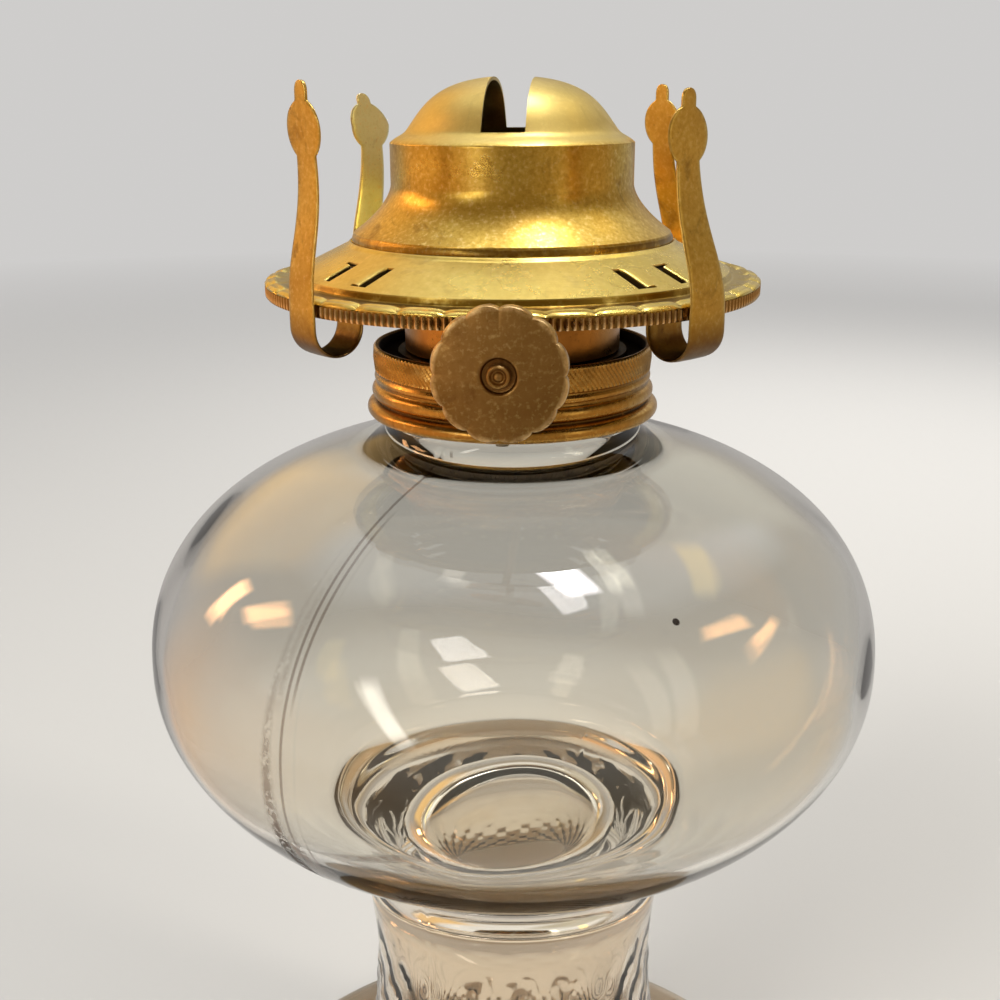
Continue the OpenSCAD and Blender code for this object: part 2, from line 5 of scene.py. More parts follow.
import bmesh
import bpy
import numpy as np
from mathutils import Matrix, Vector, noise


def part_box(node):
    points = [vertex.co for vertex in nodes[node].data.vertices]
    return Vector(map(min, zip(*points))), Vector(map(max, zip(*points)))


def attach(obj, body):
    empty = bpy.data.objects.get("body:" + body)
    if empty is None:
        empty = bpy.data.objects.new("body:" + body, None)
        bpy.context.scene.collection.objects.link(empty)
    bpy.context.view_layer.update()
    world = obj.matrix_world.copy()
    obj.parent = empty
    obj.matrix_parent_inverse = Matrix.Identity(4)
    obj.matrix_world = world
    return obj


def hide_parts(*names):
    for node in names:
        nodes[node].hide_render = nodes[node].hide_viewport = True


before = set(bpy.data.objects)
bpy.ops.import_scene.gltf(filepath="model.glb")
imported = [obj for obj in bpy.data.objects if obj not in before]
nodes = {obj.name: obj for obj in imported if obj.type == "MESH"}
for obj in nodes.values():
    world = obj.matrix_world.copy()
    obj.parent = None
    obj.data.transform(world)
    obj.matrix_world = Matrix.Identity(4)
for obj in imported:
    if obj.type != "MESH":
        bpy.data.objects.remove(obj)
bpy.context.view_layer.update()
MM = 0.001

# Levels and radii in millimetres, read off the frame
FOOT_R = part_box("lamp_glass")[1].x / MM
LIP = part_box("lamp_glass")[1].z / MM
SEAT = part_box("collar")[1].z / MM - 1.7
COLLAR_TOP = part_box("collar")[1].z / MM
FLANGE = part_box("collar")[0].z / MM
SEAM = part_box("dome")[0].z / MM
DOME_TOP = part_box("dome")[1].z / MM
BAND_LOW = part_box("gallery")[0].z / MM
GALLERY_R, BAND_TOP, RIM = 38.8, BAND_LOW + 1.8, BAND_LOW + 2.5
GALLERY_STEPS, TEETH, PILLOWS, PILLOW_TURN = 960, 240, 36, math.radians(-3.0)
CONE_IN, CONE_OUT, CONE_SLOPE = 25.1, 34.0, 4.35 / 8.9
FONT_R, FONT_MID = 60.6, 117.0
SHAFT_X = 3.45
SHAFT_Z = 172.1
WHEEL_Y = -46.0
SEAM_AZIMUTH, DIRT_AZIMUTH = math.radians(-24.5), math.radians(-27.0)
PRONG_AZIMUTHS = {"front_left": -41.7, "front_right": 48.3, "rear_left": -131.7, "rear_right": 138.3}


# Curves
def bezier(a, b, c, d, count):
    t = np.linspace(0, 1, count + 1)[:, None]
    a, b, c, d = (np.array(p, float) for p in (a, b, c, d))
    return (1 - t) ** 3 * a + 3 * (1 - t) ** 2 * t * b + 3 * (1 - t) * t * t * c + t ** 3 * d


def finer(points, step):
    """The same polyline with points no further apart than step."""
    points = np.array(points, float)
    out = [points[0]]
    for a, b in zip(points[:-1], points[1:]):
        count = max(1, int(math.ceil(np.hypot(*(b - a)) / step)))
        out.extend(a + (b - a) * i / count for i in range(1, count + 1))
    return np.array(out)


def rounded(points, radius, count=5, ring=False):
    """The polyline with its corners rounded by about the given radius."""
    points = [np.array(p, float) for p in points]
    n = len(points)
    out = []
    for i, p in enumerate(points):
        if not ring and i in (0, n - 1):
            out.append(p)
            continue
        before, after = points[i - 1] - p, points[(i + 1) % n] - p
        la, lb = np.hypot(*before), np.hypot(*after)
        cut = min(radius, 0.45 * la, 0.45 * lb)
        a, b = p + before / la * cut, p + after / lb * cut
        for t in np.linspace(0, 1, count):
            out.append((1 - t) ** 2 * a + 2 * (1 - t) * t * p + t * t * b)
    return np.array(out)


def bulge(radius, height, power, r_end, count):
    """A quarter of a rounded outline, from its widest point to radius r_end."""
    end = math.acos((r_end / radius) ** (power / 2))
    a = np.linspace(0, end, count + 1)
    return np.stack([radius * np.cos(a) ** (2 / power), height * np.abs(np.sin(a)) ** (2 / power)], -1)


# Meshes
def finish_mesh(name, mesh, sharp=38):
    work = bmesh.new()
    work.from_mesh(mesh)
    bmesh.ops.remove_doubles(work, verts=work.verts, dist=1e-7)
    bmesh.ops.recalc_face_normals(work, faces=work.faces)
    work.to_mesh(mesh)
    work.free()
    mesh.shade_smooth()
    mesh.set_sharp_from_angle(angle=math.radians(sharp))
    piece = bpy.data.objects.new(name, mesh)
    bpy.context.scene.collection.objects.link(piece)
    return piece


def lathe_parts(profile, steps, form=None, ring=True, hole=None):
    """Vertices and faces of a turned form. form moves the points, hole leaves cells out."""
    line = np.array(profile, float)
    rows = len(line)
    azimuth = np.linspace(0, 2 * math.pi, steps, endpoint=False)[None, :]
    r = np.repeat(line[:, :1], steps, 1)
    z = np.repeat(line[:, 1:], steps, 1)
    if form:
        r, z = form(r, z, azimuth)
    co = np.stack([r * np.sin(azimuth), -r * np.cos(azimuth), z], -1) * MM
    index = np.empty((rows, steps), int)
    verts = []
    for i in range(rows):
        if line[i, 0] < 1e-6:
            index[i] = len(verts)
            verts.append(tuple(co[i].mean(0)))
        else:
            index[i] = len(verts) + np.arange(steps)
            verts.extend(map(tuple, co[i]))
    faces = []
    for i in range(rows if ring else rows - 1):
        low, high = index[i], index[(i + 1) % rows]
        if low[0] == low[-1] and high[0] == high[-1]:
            continue
        for j in range(steps):
            if hole is not None and hole[i, j]:
                continue
            corners = [low[j], low[(j + 1) % steps], high[(j + 1) % steps], high[j]]
            faces.append([int(c) for k, c in enumerate(corners) if c != corners[k - 1]])
    return verts, faces, index


def lathe(name, profile, steps, form=None, ring=True, sharp=38):
    verts, faces, _ = lathe_parts(profile, steps, form, ring)
    mesh = bpy.data.meshes.new(name)
    mesh.from_pydata(verts, [], faces)
    return finish_mesh(name, mesh, sharp)


def cut_box(piece, low, high):
    """Cuts a box out of the piece."""
    low, high = Vector(low) * MM, Vector(high) * MM
    mesh = bpy.data.meshes.new("cutter")
    work = bmesh.new()
    bmesh.ops.create_cube(work, size=1, matrix=Matrix.LocRotScale((low + high) / 2, None, high - low))
    work.to_mesh(mesh)
    work.free()
    cutter = bpy.data.objects.new("cutter", mesh)
    bpy.context.scene.collection.objects.link(cutter)
    cut = piece.modifiers.new("cut", "BOOLEAN")
    cut.object, cut.operation, cut.solver = cutter, "DIFFERENCE", "EXACT"
    bpy.context.view_layer.update()
    made = bpy.data.meshes.new_from_object(piece.evaluated_get(bpy.context.evaluated_depsgraph_get()))
    piece.modifiers.clear()
    piece.data = made
    bpy.data.objects.remove(cutter)
    made.set_sharp_from_angle(angle=math.radians(38))


# Materials
def socket(group, way, name, kind, default=None):
    made = group.interface.new_socket(name=name, in_out=way, socket_type=kind)
    if default is not None:
        made.default_value = default
    return made


def put(tree, kind, inputs=None, **settings):
    """A node with its settings, and its inputs set or linked."""
    made = tree.nodes.new(kind)
    for key, value in settings.items():
        setattr(made, key, value)
    for key, value in (inputs or {}).items():
        if isinstance(value, bpy.types.NodeSocket):
            tree.links.new(value, made.inputs[key])
        else:
            made.inputs[key].default_value = value
    return made


def math_node(tree, operation, *values, clamp=False):
    return put(tree, "ShaderNodeMath", dict(enumerate(values)), operation=operation, use_clamp=clamp).outputs[0]


def mix_colour(tree, factor, a, b, blend="MIX"):
    made = put(tree, "ShaderNodeMix", data_type="RGBA", blend_type=blend)
    for key, value in (("Factor_Float", factor), ("A_Color", a), ("B_Color", b)):
        port = next(s for s in made.inputs if s.identifier == key)
        if isinstance(value, bpy.types.NodeSocket):
            tree.links.new(value, port)
        else:
            port.default_value = value
    return next(s for s in made.outputs if s.identifier == "Result_Color")


def remap(tree, value, low, high, to_low=0.0, to_high=1.0):
    made = put(tree, "ShaderNodeMapRange", {"Value": value, "From Min": low, "From Max": high,
                                            "To Min": to_low, "To Max": to_high})
    return made.outputs["Result"]


def cloud(tree, where, scale, detail=4.0, rough=0.55, distortion=0.0):
    return put(tree, "ShaderNodeTexNoise", {"Vector": where, "Scale": scale, "Detail": detail,
                                            "Roughness": rough, "Distortion": distortion}).outputs["Fac"]


def object_space(tree):
    return put(tree, "ShaderNodeTexCoord").outputs["Object"]


def new_group(name, inputs, outputs):
    """An empty shader group with its ends."""
    group = bpy.data.node_groups.new(name, "ShaderNodeTree")
    for label, kind, default in inputs:
        socket(group, "INPUT", label, kind, default)
    for label, kind in outputs:
        socket(group, "OUTPUT", label, kind)
    ends = group.nodes.new("NodeGroupInput"), group.nodes.new("NodeGroupOutput")
    return group, ends[0].outputs, ends[1].inputs


VALUE, COLOUR = "NodeSocketFloat", "NodeSocketColor"


def make_patina():
    """Old brass: cloudy tone, brown stains and small spots."""
    group, given, out = new_group("patina", [
        ("Fresh", COLOUR, (0.7, 0.5, 0.2, 1)), ("Aged", COLOUR, (0.4, 0.25, 0.1, 1)),
        ("Stain", COLOUR, (0.1, 0.06, 0.03, 1)), ("Scale", VALUE, 60.0), ("Age", VALUE, 0.5),
        ("Stains", VALUE, 0.4), ("Spots", VALUE, 0.3), ("Flecks", VALUE, 0.0)],
        [("Color", COLOUR), ("Dull", VALUE), ("Height", VALUE)])
    tree = group
    where = object_space(tree)
    broad = cloud(tree, where, given["Scale"], 3.0, 0.6, 0.4)
    fine = cloud(tree, where, math_node(tree, "MULTIPLY", given["Scale"], 9.0), 5.0, 0.7)
    tone = math_node(tree, "ADD", broad, math_node(tree, "MULTIPLY", fine, 0.35))
    aged = remap(tree, math_node(tree, "ADD", tone, given["Age"]), 0.95, 1.45)
    base = mix_colour(tree, aged, given["Fresh"], given["Aged"])
    mottle = cloud(tree, where, math_node(tree, "MULTIPLY", given["Scale"], 20.0), 3.0, 0.6)
    dark_fleck = math_node(tree, "MULTIPLY", remap(tree, mottle, 0.50, 0.34), given["Flecks"])
    light_fleck = math_node(tree, "MULTIPLY", remap(tree, mottle, 0.54, 0.72), given["Flecks"])
    base = mix_colour(tree, dark_fleck, base, given["Aged"])
    base = mix_colour(tree, light_fleck, base, (0.90, 0.72, 0.30, 1))
    patch = cloud(tree, where, math_node(tree, "MULTIPLY", given["Scale"], 2.3), 6.0, 0.65, 0.8)
    stained = math_node(tree, "MULTIPLY", remap(tree, patch, 0.56, 0.72), given["Stains"])
    base = mix_colour(tree, stained, base, given["Stain"])
    cells = put(tree, "ShaderNodeTexVoronoi", {"Vector": where, "Scale": math_node(
        tree, "MULTIPLY", given["Scale"], 16.0), "Randomness": 1.0}).outputs["Distance"]
    chance = cloud(tree, where, math_node(tree, "MULTIPLY", given["Scale"], 5.0), 2.0)
    spot = math_node(tree, "MULTIPLY", remap(tree, cells, 0.22, 0.08), remap(tree, chance, 0.5, 0.62))
    spot = math_node(tree, "MULTIPLY", spot, given["Spots"])
    base = mix_colour(tree, spot, base, given["Stain"])
    tree.links.new(base, out["Color"])
    dull = math_node(tree, "ADD", math_node(tree, "MULTIPLY", aged, 0.6),
                     math_node(tree, "ADD", stained, math_node(tree, "MULTIPLY", spot, 0.6)), clamp=True)
    tree.links.new(dull, out["Dull"])
    tree.links.new(math_node(tree, "SUBTRACT", fine, math_node(tree, "MULTIPLY", spot, 0.8)), out["Height"])
    return group


def make_spun_marks():
    """Fine rings that turning leaves round the lamp's axis."""
    group, given, out = new_group("spun_marks", [("Rings", VALUE, 2500.0)], [("Height", VALUE)])
    tree = group
    split = put(tree, "ShaderNodeSeparateXYZ", {0: object_space(tree)}).outputs
    flat = put(tree, "ShaderNodeCombineXYZ", {0: split["X"], 1: split["Y"], 2: 0.0}).outputs[0]
    radius = put(tree, "ShaderNodeVectorMath", {0: flat}, operation="LENGTH").outputs["Value"]
    angle = math_node(tree, "ARCTAN2", split["X"], split["Y"])
    line = put(tree, "ShaderNodeCombineXYZ", {0: math_node(tree, "MULTIPLY", radius, given["Rings"]),
                                              1: math_node(tree, "MULTIPLY", split["Z"], given["Rings"]),
                                              2: math_node(tree, "MULTIPLY", angle, 1.5)}).outputs[0]
    tree.links.new(cloud(tree, line, 1.0, 3.0, 0.7), out["Height"])
    return group


def make_edge_wear_and_sheen():
    """Edges rubbed bright, partly as painted highlights, hollows left dark."""
    group, given, out = new_group("edge_wear_and_sheen", [
        ("Color", COLOUR, (0.5, 0.5, 0.5, 1)), ("Bright", COLOUR, (0.9, 0.7, 0.35, 1)),
        ("Grime", COLOUR, (0.05, 0.03, 0.015, 1)), ("Wear", VALUE, 0.6), ("Dirt", VALUE, 0.5)],
        [("Color", COLOUR), ("Edge", VALUE)])
    tree = group
    point = put(tree, "ShaderNodeNewGeometry").outputs["Pointiness"]
    broken = cloud(tree, object_space(tree), 420.0, 4.0, 0.7)
    edge = math_node(tree, "MULTIPLY", remap(tree, point, 0.52, 0.6), given["Wear"])
    edge = math_node(tree, "MULTIPLY", edge, remap(tree, broken, 0.3, 0.6))
    dirt = math_node(tree, "MULTIPLY", remap(tree, point, 0.49, 0.42), given["Dirt"])
    base = mix_colour(tree, dirt, given["Color"], given["Grime"])
    tree.links.new(mix_colour(tree, edge, base, given["Bright"]), out["Color"])
    tree.links.new(edge, out["Edge"])
    return group


patina = make_patina()
spun_marks = make_spun_marks()
edge_wear_and_sheen = make_edge_wear_and_sheen()


def new_material(name):
    material = bpy.data.materials.new(name)
    material.use_nodes = True
    tree = material.node_tree
    shader = next(n for n in tree.nodes if n.type == "BSDF_PRINCIPLED")
    return material, tree, shader


def old_brass(name, fresh, aged, stain, scale=60.0, age=0.5, stains=0.4, spots=0.3, flecks=0.0, rough=(0.2, 0.5),
              rings=0.0, wear=0.6, dirt=0.5, grain=0.0001, bright=(0.95, 0.68, 0.26, 1), masks=()):
    """Brass with patina, rubbed edges partly painted as highlights and, where it was spun, fine rings. Each mask tints
    and dulls a place.
    """
    material, tree, shader = new_material(name)
    coat = put(tree, "ShaderNodeGroup", node_tree=patina)
    for label, value in (("Fresh", fresh), ("Aged", aged), ("Stain", stain), ("Scale", scale),
                         ("Age", age), ("Stains", stains), ("Spots", spots), ("Flecks", flecks)):
        coat.inputs[label].default_value = value
    edge = put(tree, "ShaderNodeGroup", {"Color": coat.outputs["Color"], "Bright": bright,
                                         "Wear": wear, "Dirt": dirt}, node_tree=edge_wear_and_sheen)
    tone, dull = edge.outputs["Color"], remap(tree, coat.outputs["Dull"], 0.0, 1.0, *rough)
    for mask, share, colour, matt in masks:
        here = mask(tree)
        tone = mix_colour(tree, math_node(tree, "MULTIPLY", here, share), tone, colour)
        dull = math_node(tree, "ADD", dull, math_node(tree, "MULTIPLY", here, matt), clamp=True)
    tree.links.new(tone, shader.inputs["Base Color"])
    shader.inputs["Metallic"].default_value = 1.0
    tree.links.new(dull, shader.inputs["Roughness"])
    bump = put(tree, "ShaderNodeBump", {"Strength": 0.35, "Distance": grain, "Height": coat.outputs["Height"]})
    if rings:
        turned = put(tree, "ShaderNodeGroup", {"Rings": 2600.0}, node_tree=spun_marks)
        bump = put(tree, "ShaderNodeBump", {"Strength": rings, "Distance": 0.00006,
                                            "Height": turned.outputs["Height"], "Normal": bump.outputs[0]})
    tree.links.new(bump.outputs[0], shader.inputs["Normal"])
    return material


def from_axis(tree, where=None):
    """Distance from the lamp's axis."""
    split = put(tree, "ShaderNodeSeparateXYZ", {0: where or object_space(tree)}).outputs
    flat = put(tree, "ShaderNodeCombineXYZ", {0: split["X"], 1: split["Y"], 2: 0.0}).outputs[0]
    return put(tree, "ShaderNodeVectorMath", {0: flat}, operation="LENGTH").outputs["Value"]


# The toothed band. The gallery's brass paints shade over it, which stays dark in the grooves between the painted
# highlights on the teeth.
def serrated_band(tree):
    height = put(tree, "ShaderNodeSeparateXYZ", {0: object_space(tree)}).outputs["Z"]
    return remap(tree, height, (BAND_TOP + 0.05) * MM, (BAND_TOP - 0.1) * MM)


def painted_tooth_highlights(tree):
    """Painted highlights on the ridges of the fine teeth, brightest at their lower ends."""
    split = put(tree, "ShaderNodeSeparateXYZ", {0: object_space(tree)}).outputs
    azimuth = math_node(tree, "ARCTAN2", split["X"], math_node(tree, "MULTIPLY", split["Y"], -1.0))
    phase = math_node(tree, "FRACT", math_node(tree, "MULTIPLY", azimuth, TEETH / (2 * math.pi)))
    off = math_node(tree, "ABSOLUTE", math_node(tree, "SUBTRACT", phase, 0.5))
    low = remap(tree, split["Z"], (BAND_LOW + 1.1) * MM, (BAND_LOW + 0.35) * MM, 0.35, 1.0)
    ridge = math_node(tree, "MULTIPLY", remap(tree, off, 0.26, 0.10), low)
    return math_node(tree, "MULTIPLY", ridge, serrated_band(tree))


def seat_painted_shade(tree):
    """Painted brown shade on the front of the chimney's seat, with broken edges."""
    away = from_axis(tree)
    ring = math_node(tree, "MULTIPLY", remap(tree, away, 0.0339, 0.0341), remap(tree, away, 0.0368, 0.0362))
    depth = put(tree, "ShaderNodeSeparateXYZ", {0: object_space(tree)}).outputs["Y"]
    ring = math_node(tree, "MULTIPLY", ring, remap(tree, depth, -0.020, -0.014, 1.0, 0.3))
    return math_node(tree, "MULTIPLY", ring, remap(tree, cloud(tree, object_space(tree), 200.0, 4.0, 0.7), 0.28, 0.48))


# Painted sheen: the cap above the shoulder tinted paler and yellower, where it mirrors the bright light overhead.
def cap_painted_sheen(tree):
    height = put(tree, "ShaderNodeSeparateXYZ", {0: object_space(tree)}).outputs["Z"]
    return remap(tree, height, (SEAM + 14.6) * MM, (SEAM + 15.2) * MM)


def loop_bottom(tree):
    """Dark brown that grows towards the bottom of a prong's loop."""
    split = put(tree, "ShaderNodeSeparateXYZ", {0: object_space(tree)}).outputs
    broken = math_node(tree, "MULTIPLY", cloud(tree, object_space(tree), 160.0, 4.0, 0.7), 0.003)
    return remap(tree, math_node(tree, "ADD", split["Z"], broken), (BAND_LOW + 2.6) * MM, (BAND_LOW - 2.4) * MM)


def under_cone_painted_shade(tree):
    """Painted shade, near black, on the cone's underside, the walls of its cuts and the curled ends of its ears."""
    height = put(tree, "ShaderNodeSeparateXYZ", {0: object_space(tree)}).outputs["Z"]
    away = from_axis(tree)
    top = math_node(tree, "SUBTRACT", (SEAM + CONE_SLOPE * CONE_IN) * MM, math_node(tree, "MULTIPLY", away, CONE_SLOPE))
    depth = remap(tree, math_node(tree, "SUBTRACT", top, height), 0.00012, 0.0003)
    return math_node(tree, "MULTIPLY", depth, remap(tree, away, 0.0338, 0.0336))


def dome_lip_painted_shade(tree):
    """Painted brown shade on the rolled lip, broken up and thin at the left."""
    split = put(tree, "ShaderNodeSeparateXYZ", {0: object_space(tree)}).outputs
    low = remap(tree, split["Z"], (SEAM + 1.25) * MM, (SEAM + 0.95) * MM)
    left = remap(tree, split["X"], -0.022, -0.004, 0.25, 1.0)
    broken = remap(tree, cloud(tree, object_space(tree), 260.0, 4.0, 0.7), 0.30, 0.50)
    return math_node(tree, "MULTIPLY", math_node(tree, "MULTIPLY", low, left), broken)


# Painted shade, near black and dull, inside the collar's rim.
def collar_recess_painted_shade(tree):
    return remap(tree, from_axis(tree), 0.0218, 0.0214)


def from_shaft(tree):
    """Distance from the middle of the raiser's shaft."""
    split = put(tree, "ShaderNodeSeparateXYZ", {0: object_space(tree)}).outputs
    away = put(tree, "ShaderNodeCombineXYZ", {0: math_node(tree, "SUBTRACT", split["X"], SHAFT_X * MM),
                                              1: math_node(tree, "SUBTRACT", split["Z"], SHAFT_Z * MM)}).outputs[0]
    return put(tree, "ShaderNodeVectorMath", {0: away}, operation="LENGTH").outputs["Value"]


# The wheel's rim rubbed bright with broken edges, partly a painted highlight.
def wheel_rim_wear_and_highlight(tree):
    broken = cloud(tree, object_space(tree), 500.0, 4.0, 0.7)
    return math_node(tree, "MULTIPLY", remap(tree, from_shaft(tree), 0.0081, 0.0086),
                     remap(tree, broken, 0.35, 0.6))


def head_recess_painted_shade(tree):
    """Painted shade in the ring round the shaft's head."""
    away = from_shaft(tree)
    return math_node(tree, "MULTIPLY", remap(tree, away, 0.00158, 0.00166), remap(tree, away, 0.0026, 0.0021))


def dress(piece, material):
    piece.data.materials.clear()
    piece.data.materials.append(material)


dome_brass = old_brass("olive_gold_brass", (0.72, 0.50, 0.105, 1), (0.50, 0.30, 0.05, 1), (0.14, 0.06, 0.015, 1),
                       scale=75, age=0.45, stains=0.6, spots=0.3, flecks=0.7, rough=(0.27, 0.5), rings=0.2,
                       wear=0.3, masks=[(cap_painted_sheen, 0.75, (0.76, 0.61, 0.21, 1), 0.05),
                                        (dome_lip_painted_shade, 0.7, (0.10, 0.045, 0.012, 1), 0.0)])
gallery_brass = old_brass("gallery_gold_brass", (0.78, 0.61, 0.17, 1), (0.60, 0.42, 0.09, 1),
                          (0.20, 0.10, 0.025, 1), scale=50, age=0.35, stains=0.4, spots=0.3, flecks=0.35,
                          rough=(0.26, 0.44), rings=0.2, wear=0.5,
                          masks=[(seat_painted_shade, 0.9, (0.20, 0.11, 0.008, 1), 0.05),
                                 # painted shade over the toothed band
                                 (serrated_band, 0.9, (0.20, 0.10, 0.03, 1), 0.0),
                                 # painted highlights on the ridges of the teeth
                                 (painted_tooth_highlights, 0.9, (0.95, 0.70, 0.42, 1), 0.0),
                                 (under_cone_painted_shade, 0.97, (0.02, 0.011, 0.006, 1), 0.3)])
prong_brass = old_brass("prong_orange_brass", (0.72, 0.50, 0.12, 1), (0.53, 0.31, 0.06, 1),
                        (0.14, 0.06, 0.015, 1), scale=70, age=0.4, stains=0.6, spots=0.3, flecks=0.5,
                        rough=(0.32, 0.55), masks=[(loop_bottom, 0.85, (0.11, 0.045, 0.02, 1), 0.0)])
# A paler copy of the prong brass with painted sheen, for the rear left prong's brighter face.
prong_brass_painted_sheen = old_brass("prong_brass_with_painted_sheen", (0.97, 0.97, 0.66, 1), (0.82, 0.78, 0.42, 1),
                              (0.20, 0.11, 0.03, 1), scale=70, age=0.4, stains=0.5, spots=0.3, flecks=0.5,
                              rough=(0.32, 0.55), masks=[(loop_bottom, 0.85, (0.11, 0.045, 0.02, 1), 0.0)])
collar_brass = old_brass("collar_golden_brass", (0.58, 0.34, 0.085, 1), (0.38, 0.19, 0.045, 1),
                         (0.08, 0.035, 0.01, 1), scale=60, age=0.42, stains=0.5, spots=0.4, flecks=0.3,
                         rough=(0.24, 0.46), dirt=0.9, masks=[(collar_recess_painted_shade, 1.0, (0.012, 0.007, 0.004, 1), 0.5)])
wheel_brass = old_brass("thumb_wheel_bronze", (0.43, 0.26, 0.092, 1), (0.27, 0.15, 0.046, 1),
                        (0.12, 0.05, 0.015, 1), scale=80, age=0.5, stains=0.5, spots=0.3, flecks=0.3,
                        rough=(0.32, 0.5), wear=0.0, dirt=0.0,
                        masks=[(wheel_rim_wear_and_highlight, 0.75, (0.95, 0.72, 0.38, 1), 0.0),
                               (head_recess_painted_shade, 0.5, (0.12, 0.05, 0.015, 1), 0.0)])
brown_brass = old_brass("brown_burner_brass", (0.56, 0.28, 0.07, 1), (0.28, 0.12, 0.03, 1),
                        (0.05, 0.024, 0.01, 1), scale=70, age=0.45, stains=0.6, spots=0.4, rough=(0.24, 0.5),
                        wear=0.0, dirt=0.0)
sooty_brass = old_brass("sooty_brass", (0.10, 0.055, 0.02, 1), (0.05, 0.028, 0.012, 1),
                        (0.02, 0.012, 0.006, 1), scale=70, age=0.5, rough=(0.5, 0.7), wear=0.0, dirt=0.0)
# Painted shade: near-black brass for the thread shell in the dark gap under the burner.
painted_shade_brass = old_brass("brass_black_for_painted_shade", (0.035, 0.02, 0.012, 1), (0.02, 0.012, 0.008, 1),
                        (0.01, 0.006, 0.004, 1), rough=(0.4, 0.6), wear=0.0, dirt=0.0)
dark_steel = old_brass("dull_steel", (0.42, 0.40, 0.37, 1), (0.22, 0.18, 0.15, 1), (0.12, 0.05, 0.02, 1),
                       scale=120, age=0.5, stains=0.5, spots=0.5, rough=(0.35, 0.6), wear=0.0, dirt=0.0)


# A black grain in the wall of the font
SPECK = (0.02688, -0.04411, 0.13906)


def make_clear_glass():
    """Pressed glass with a warm tint, deeper low down, painted shade on its left side, and brown dirt along the mould
    seam.
    """
    material, tree, shader = new_material("clear_warm_glass")
    where = object_space(tree)
    split = put(tree, "ShaderNodeSeparateXYZ", {0: where}).outputs
    drift = cloud(tree, where, 18.0, 3.0, 0.5, 1.5)
    low = remap(tree, math_node(tree, "ADD", split["Z"], math_node(tree, "MULTIPLY", drift, 0.03)), 0.125, 0.08)
    tint = mix_colour(tree, low, (0.955, 0.955, 0.915, 1), (0.94, 0.85, 0.72, 1))
    # Painted shade: the left side of the glass tinted darker and pinker.
    side = remap(tree, math_node(tree, "ADD", split["X"], math_node(tree, "MULTIPLY", drift, 0.04)), -0.02, -0.055)
    tint = mix_colour(tree, math_node(tree, "MULTIPLY", side, 0.7), tint, (0.93, 0.85, 0.81, 1))
    azimuth = math_node(tree, "ARCTAN2", split["X"], math_node(tree, "MULTIPLY", split["Y"], -1.0))
    radius = from_axis(tree)

    def beside(seam_azimuth):
        off = math_node(tree, "ABSOLUTE", math_node(tree, "SUBTRACT", azimuth, seam_azimuth))
        return math_node(tree, "MULTIPLY", off, radius)

    grit = cloud(tree, where, 700.0, 5.0, 0.7)
    squash = math_node(tree, "DIVIDE", math_node(tree, "SUBTRACT", split["Z"], FONT_MID * MM), 36.95 * MM)
    outside = math_node(tree, "ADD", math_node(tree, "POWER", math_node(tree, "DIVIDE", radius, FONT_R * MM), 2.0),
                        math_node(tree, "MULTIPLY", squash, squash))
    body = math_node(tree, "MULTIPLY", remap(tree, split["Z"], 0.0790, 0.0800), remap(tree, split["Z"], 0.1535, 0.1525))
    body = math_node(tree, "MULTIPLY", body, remap(tree, outside, 0.94, 0.96))
    line = math_node(tree, "MULTIPLY", remap(tree, beside(SEAM_AZIMUTH), 0.00034, 0.00014), body)
    tint = mix_colour(tree, math_node(tree, "MULTIPLY", line, 0.8), tint, (0.12, 0.07, 0.05, 1))
    wide = remap(tree, split["Z"], 0.150, 0.082, 0.0010, 0.0036)
    stray = math_node(tree, "ADD", beside(DIRT_AZIMUTH), math_node(tree, "MULTIPLY", grit, 0.0016))
    belt = remap(tree, math_node(tree, "DIVIDE", stray, wide), 1.0, 0.55)
    depth = math_node(tree, "MULTIPLY", remap(tree, split["Z"], 0.150, 0.105), body)
    dirt = math_node(tree, "MULTIPLY", math_node(tree, "MULTIPLY", belt, depth), remap(tree, grit, 0.38, 0.50))
    tint = mix_colour(tree, dirt, tint, (0.10, 0.035, 0.012, 1))
    speck = put(tree, "ShaderNodeVectorMath", {0: where, 1: SPECK}, operation="DISTANCE").outputs["Value"]
    tint = mix_colour(tree, remap(tree, speck, 0.00062, 0.00048), tint, (0.004, 0.003, 0.003, 1))
    tree.links.new(tint, shader.inputs["Base Color"])
    shader.inputs["Transmission Weight"].default_value = 1.0
    shader.inputs["IOR"].default_value = 1.5
    shader.inputs["Metallic"].default_value = 0.0
    haze = math_node(tree, "ADD", math_node(tree, "MULTIPLY", dirt, 0.5), math_node(tree, "MULTIPLY", low, 0.05))
    tree.links.new(haze, shader.inputs["Roughness"])
    return material


def make_plaster():
    material, tree, shader = new_material("old_plaster")
    where = object_space(tree)
    tree.links.new(mix_colour(tree, cloud(tree, where, 400.0), (0.66, 0.60, 0.50, 1), (0.48, 0.42, 0.34, 1)),
                   shader.inputs["Base Color"])
    shader.inputs["Roughness"].default_value = 0.85
    bump = put(tree, "ShaderNodeBump", {"Strength": 0.6, "Distance": 0.0002, "Height": cloud(tree, where, 1500.0)})
    tree.links.new(bump.outputs[0], shader.inputs["Normal"])
    return material


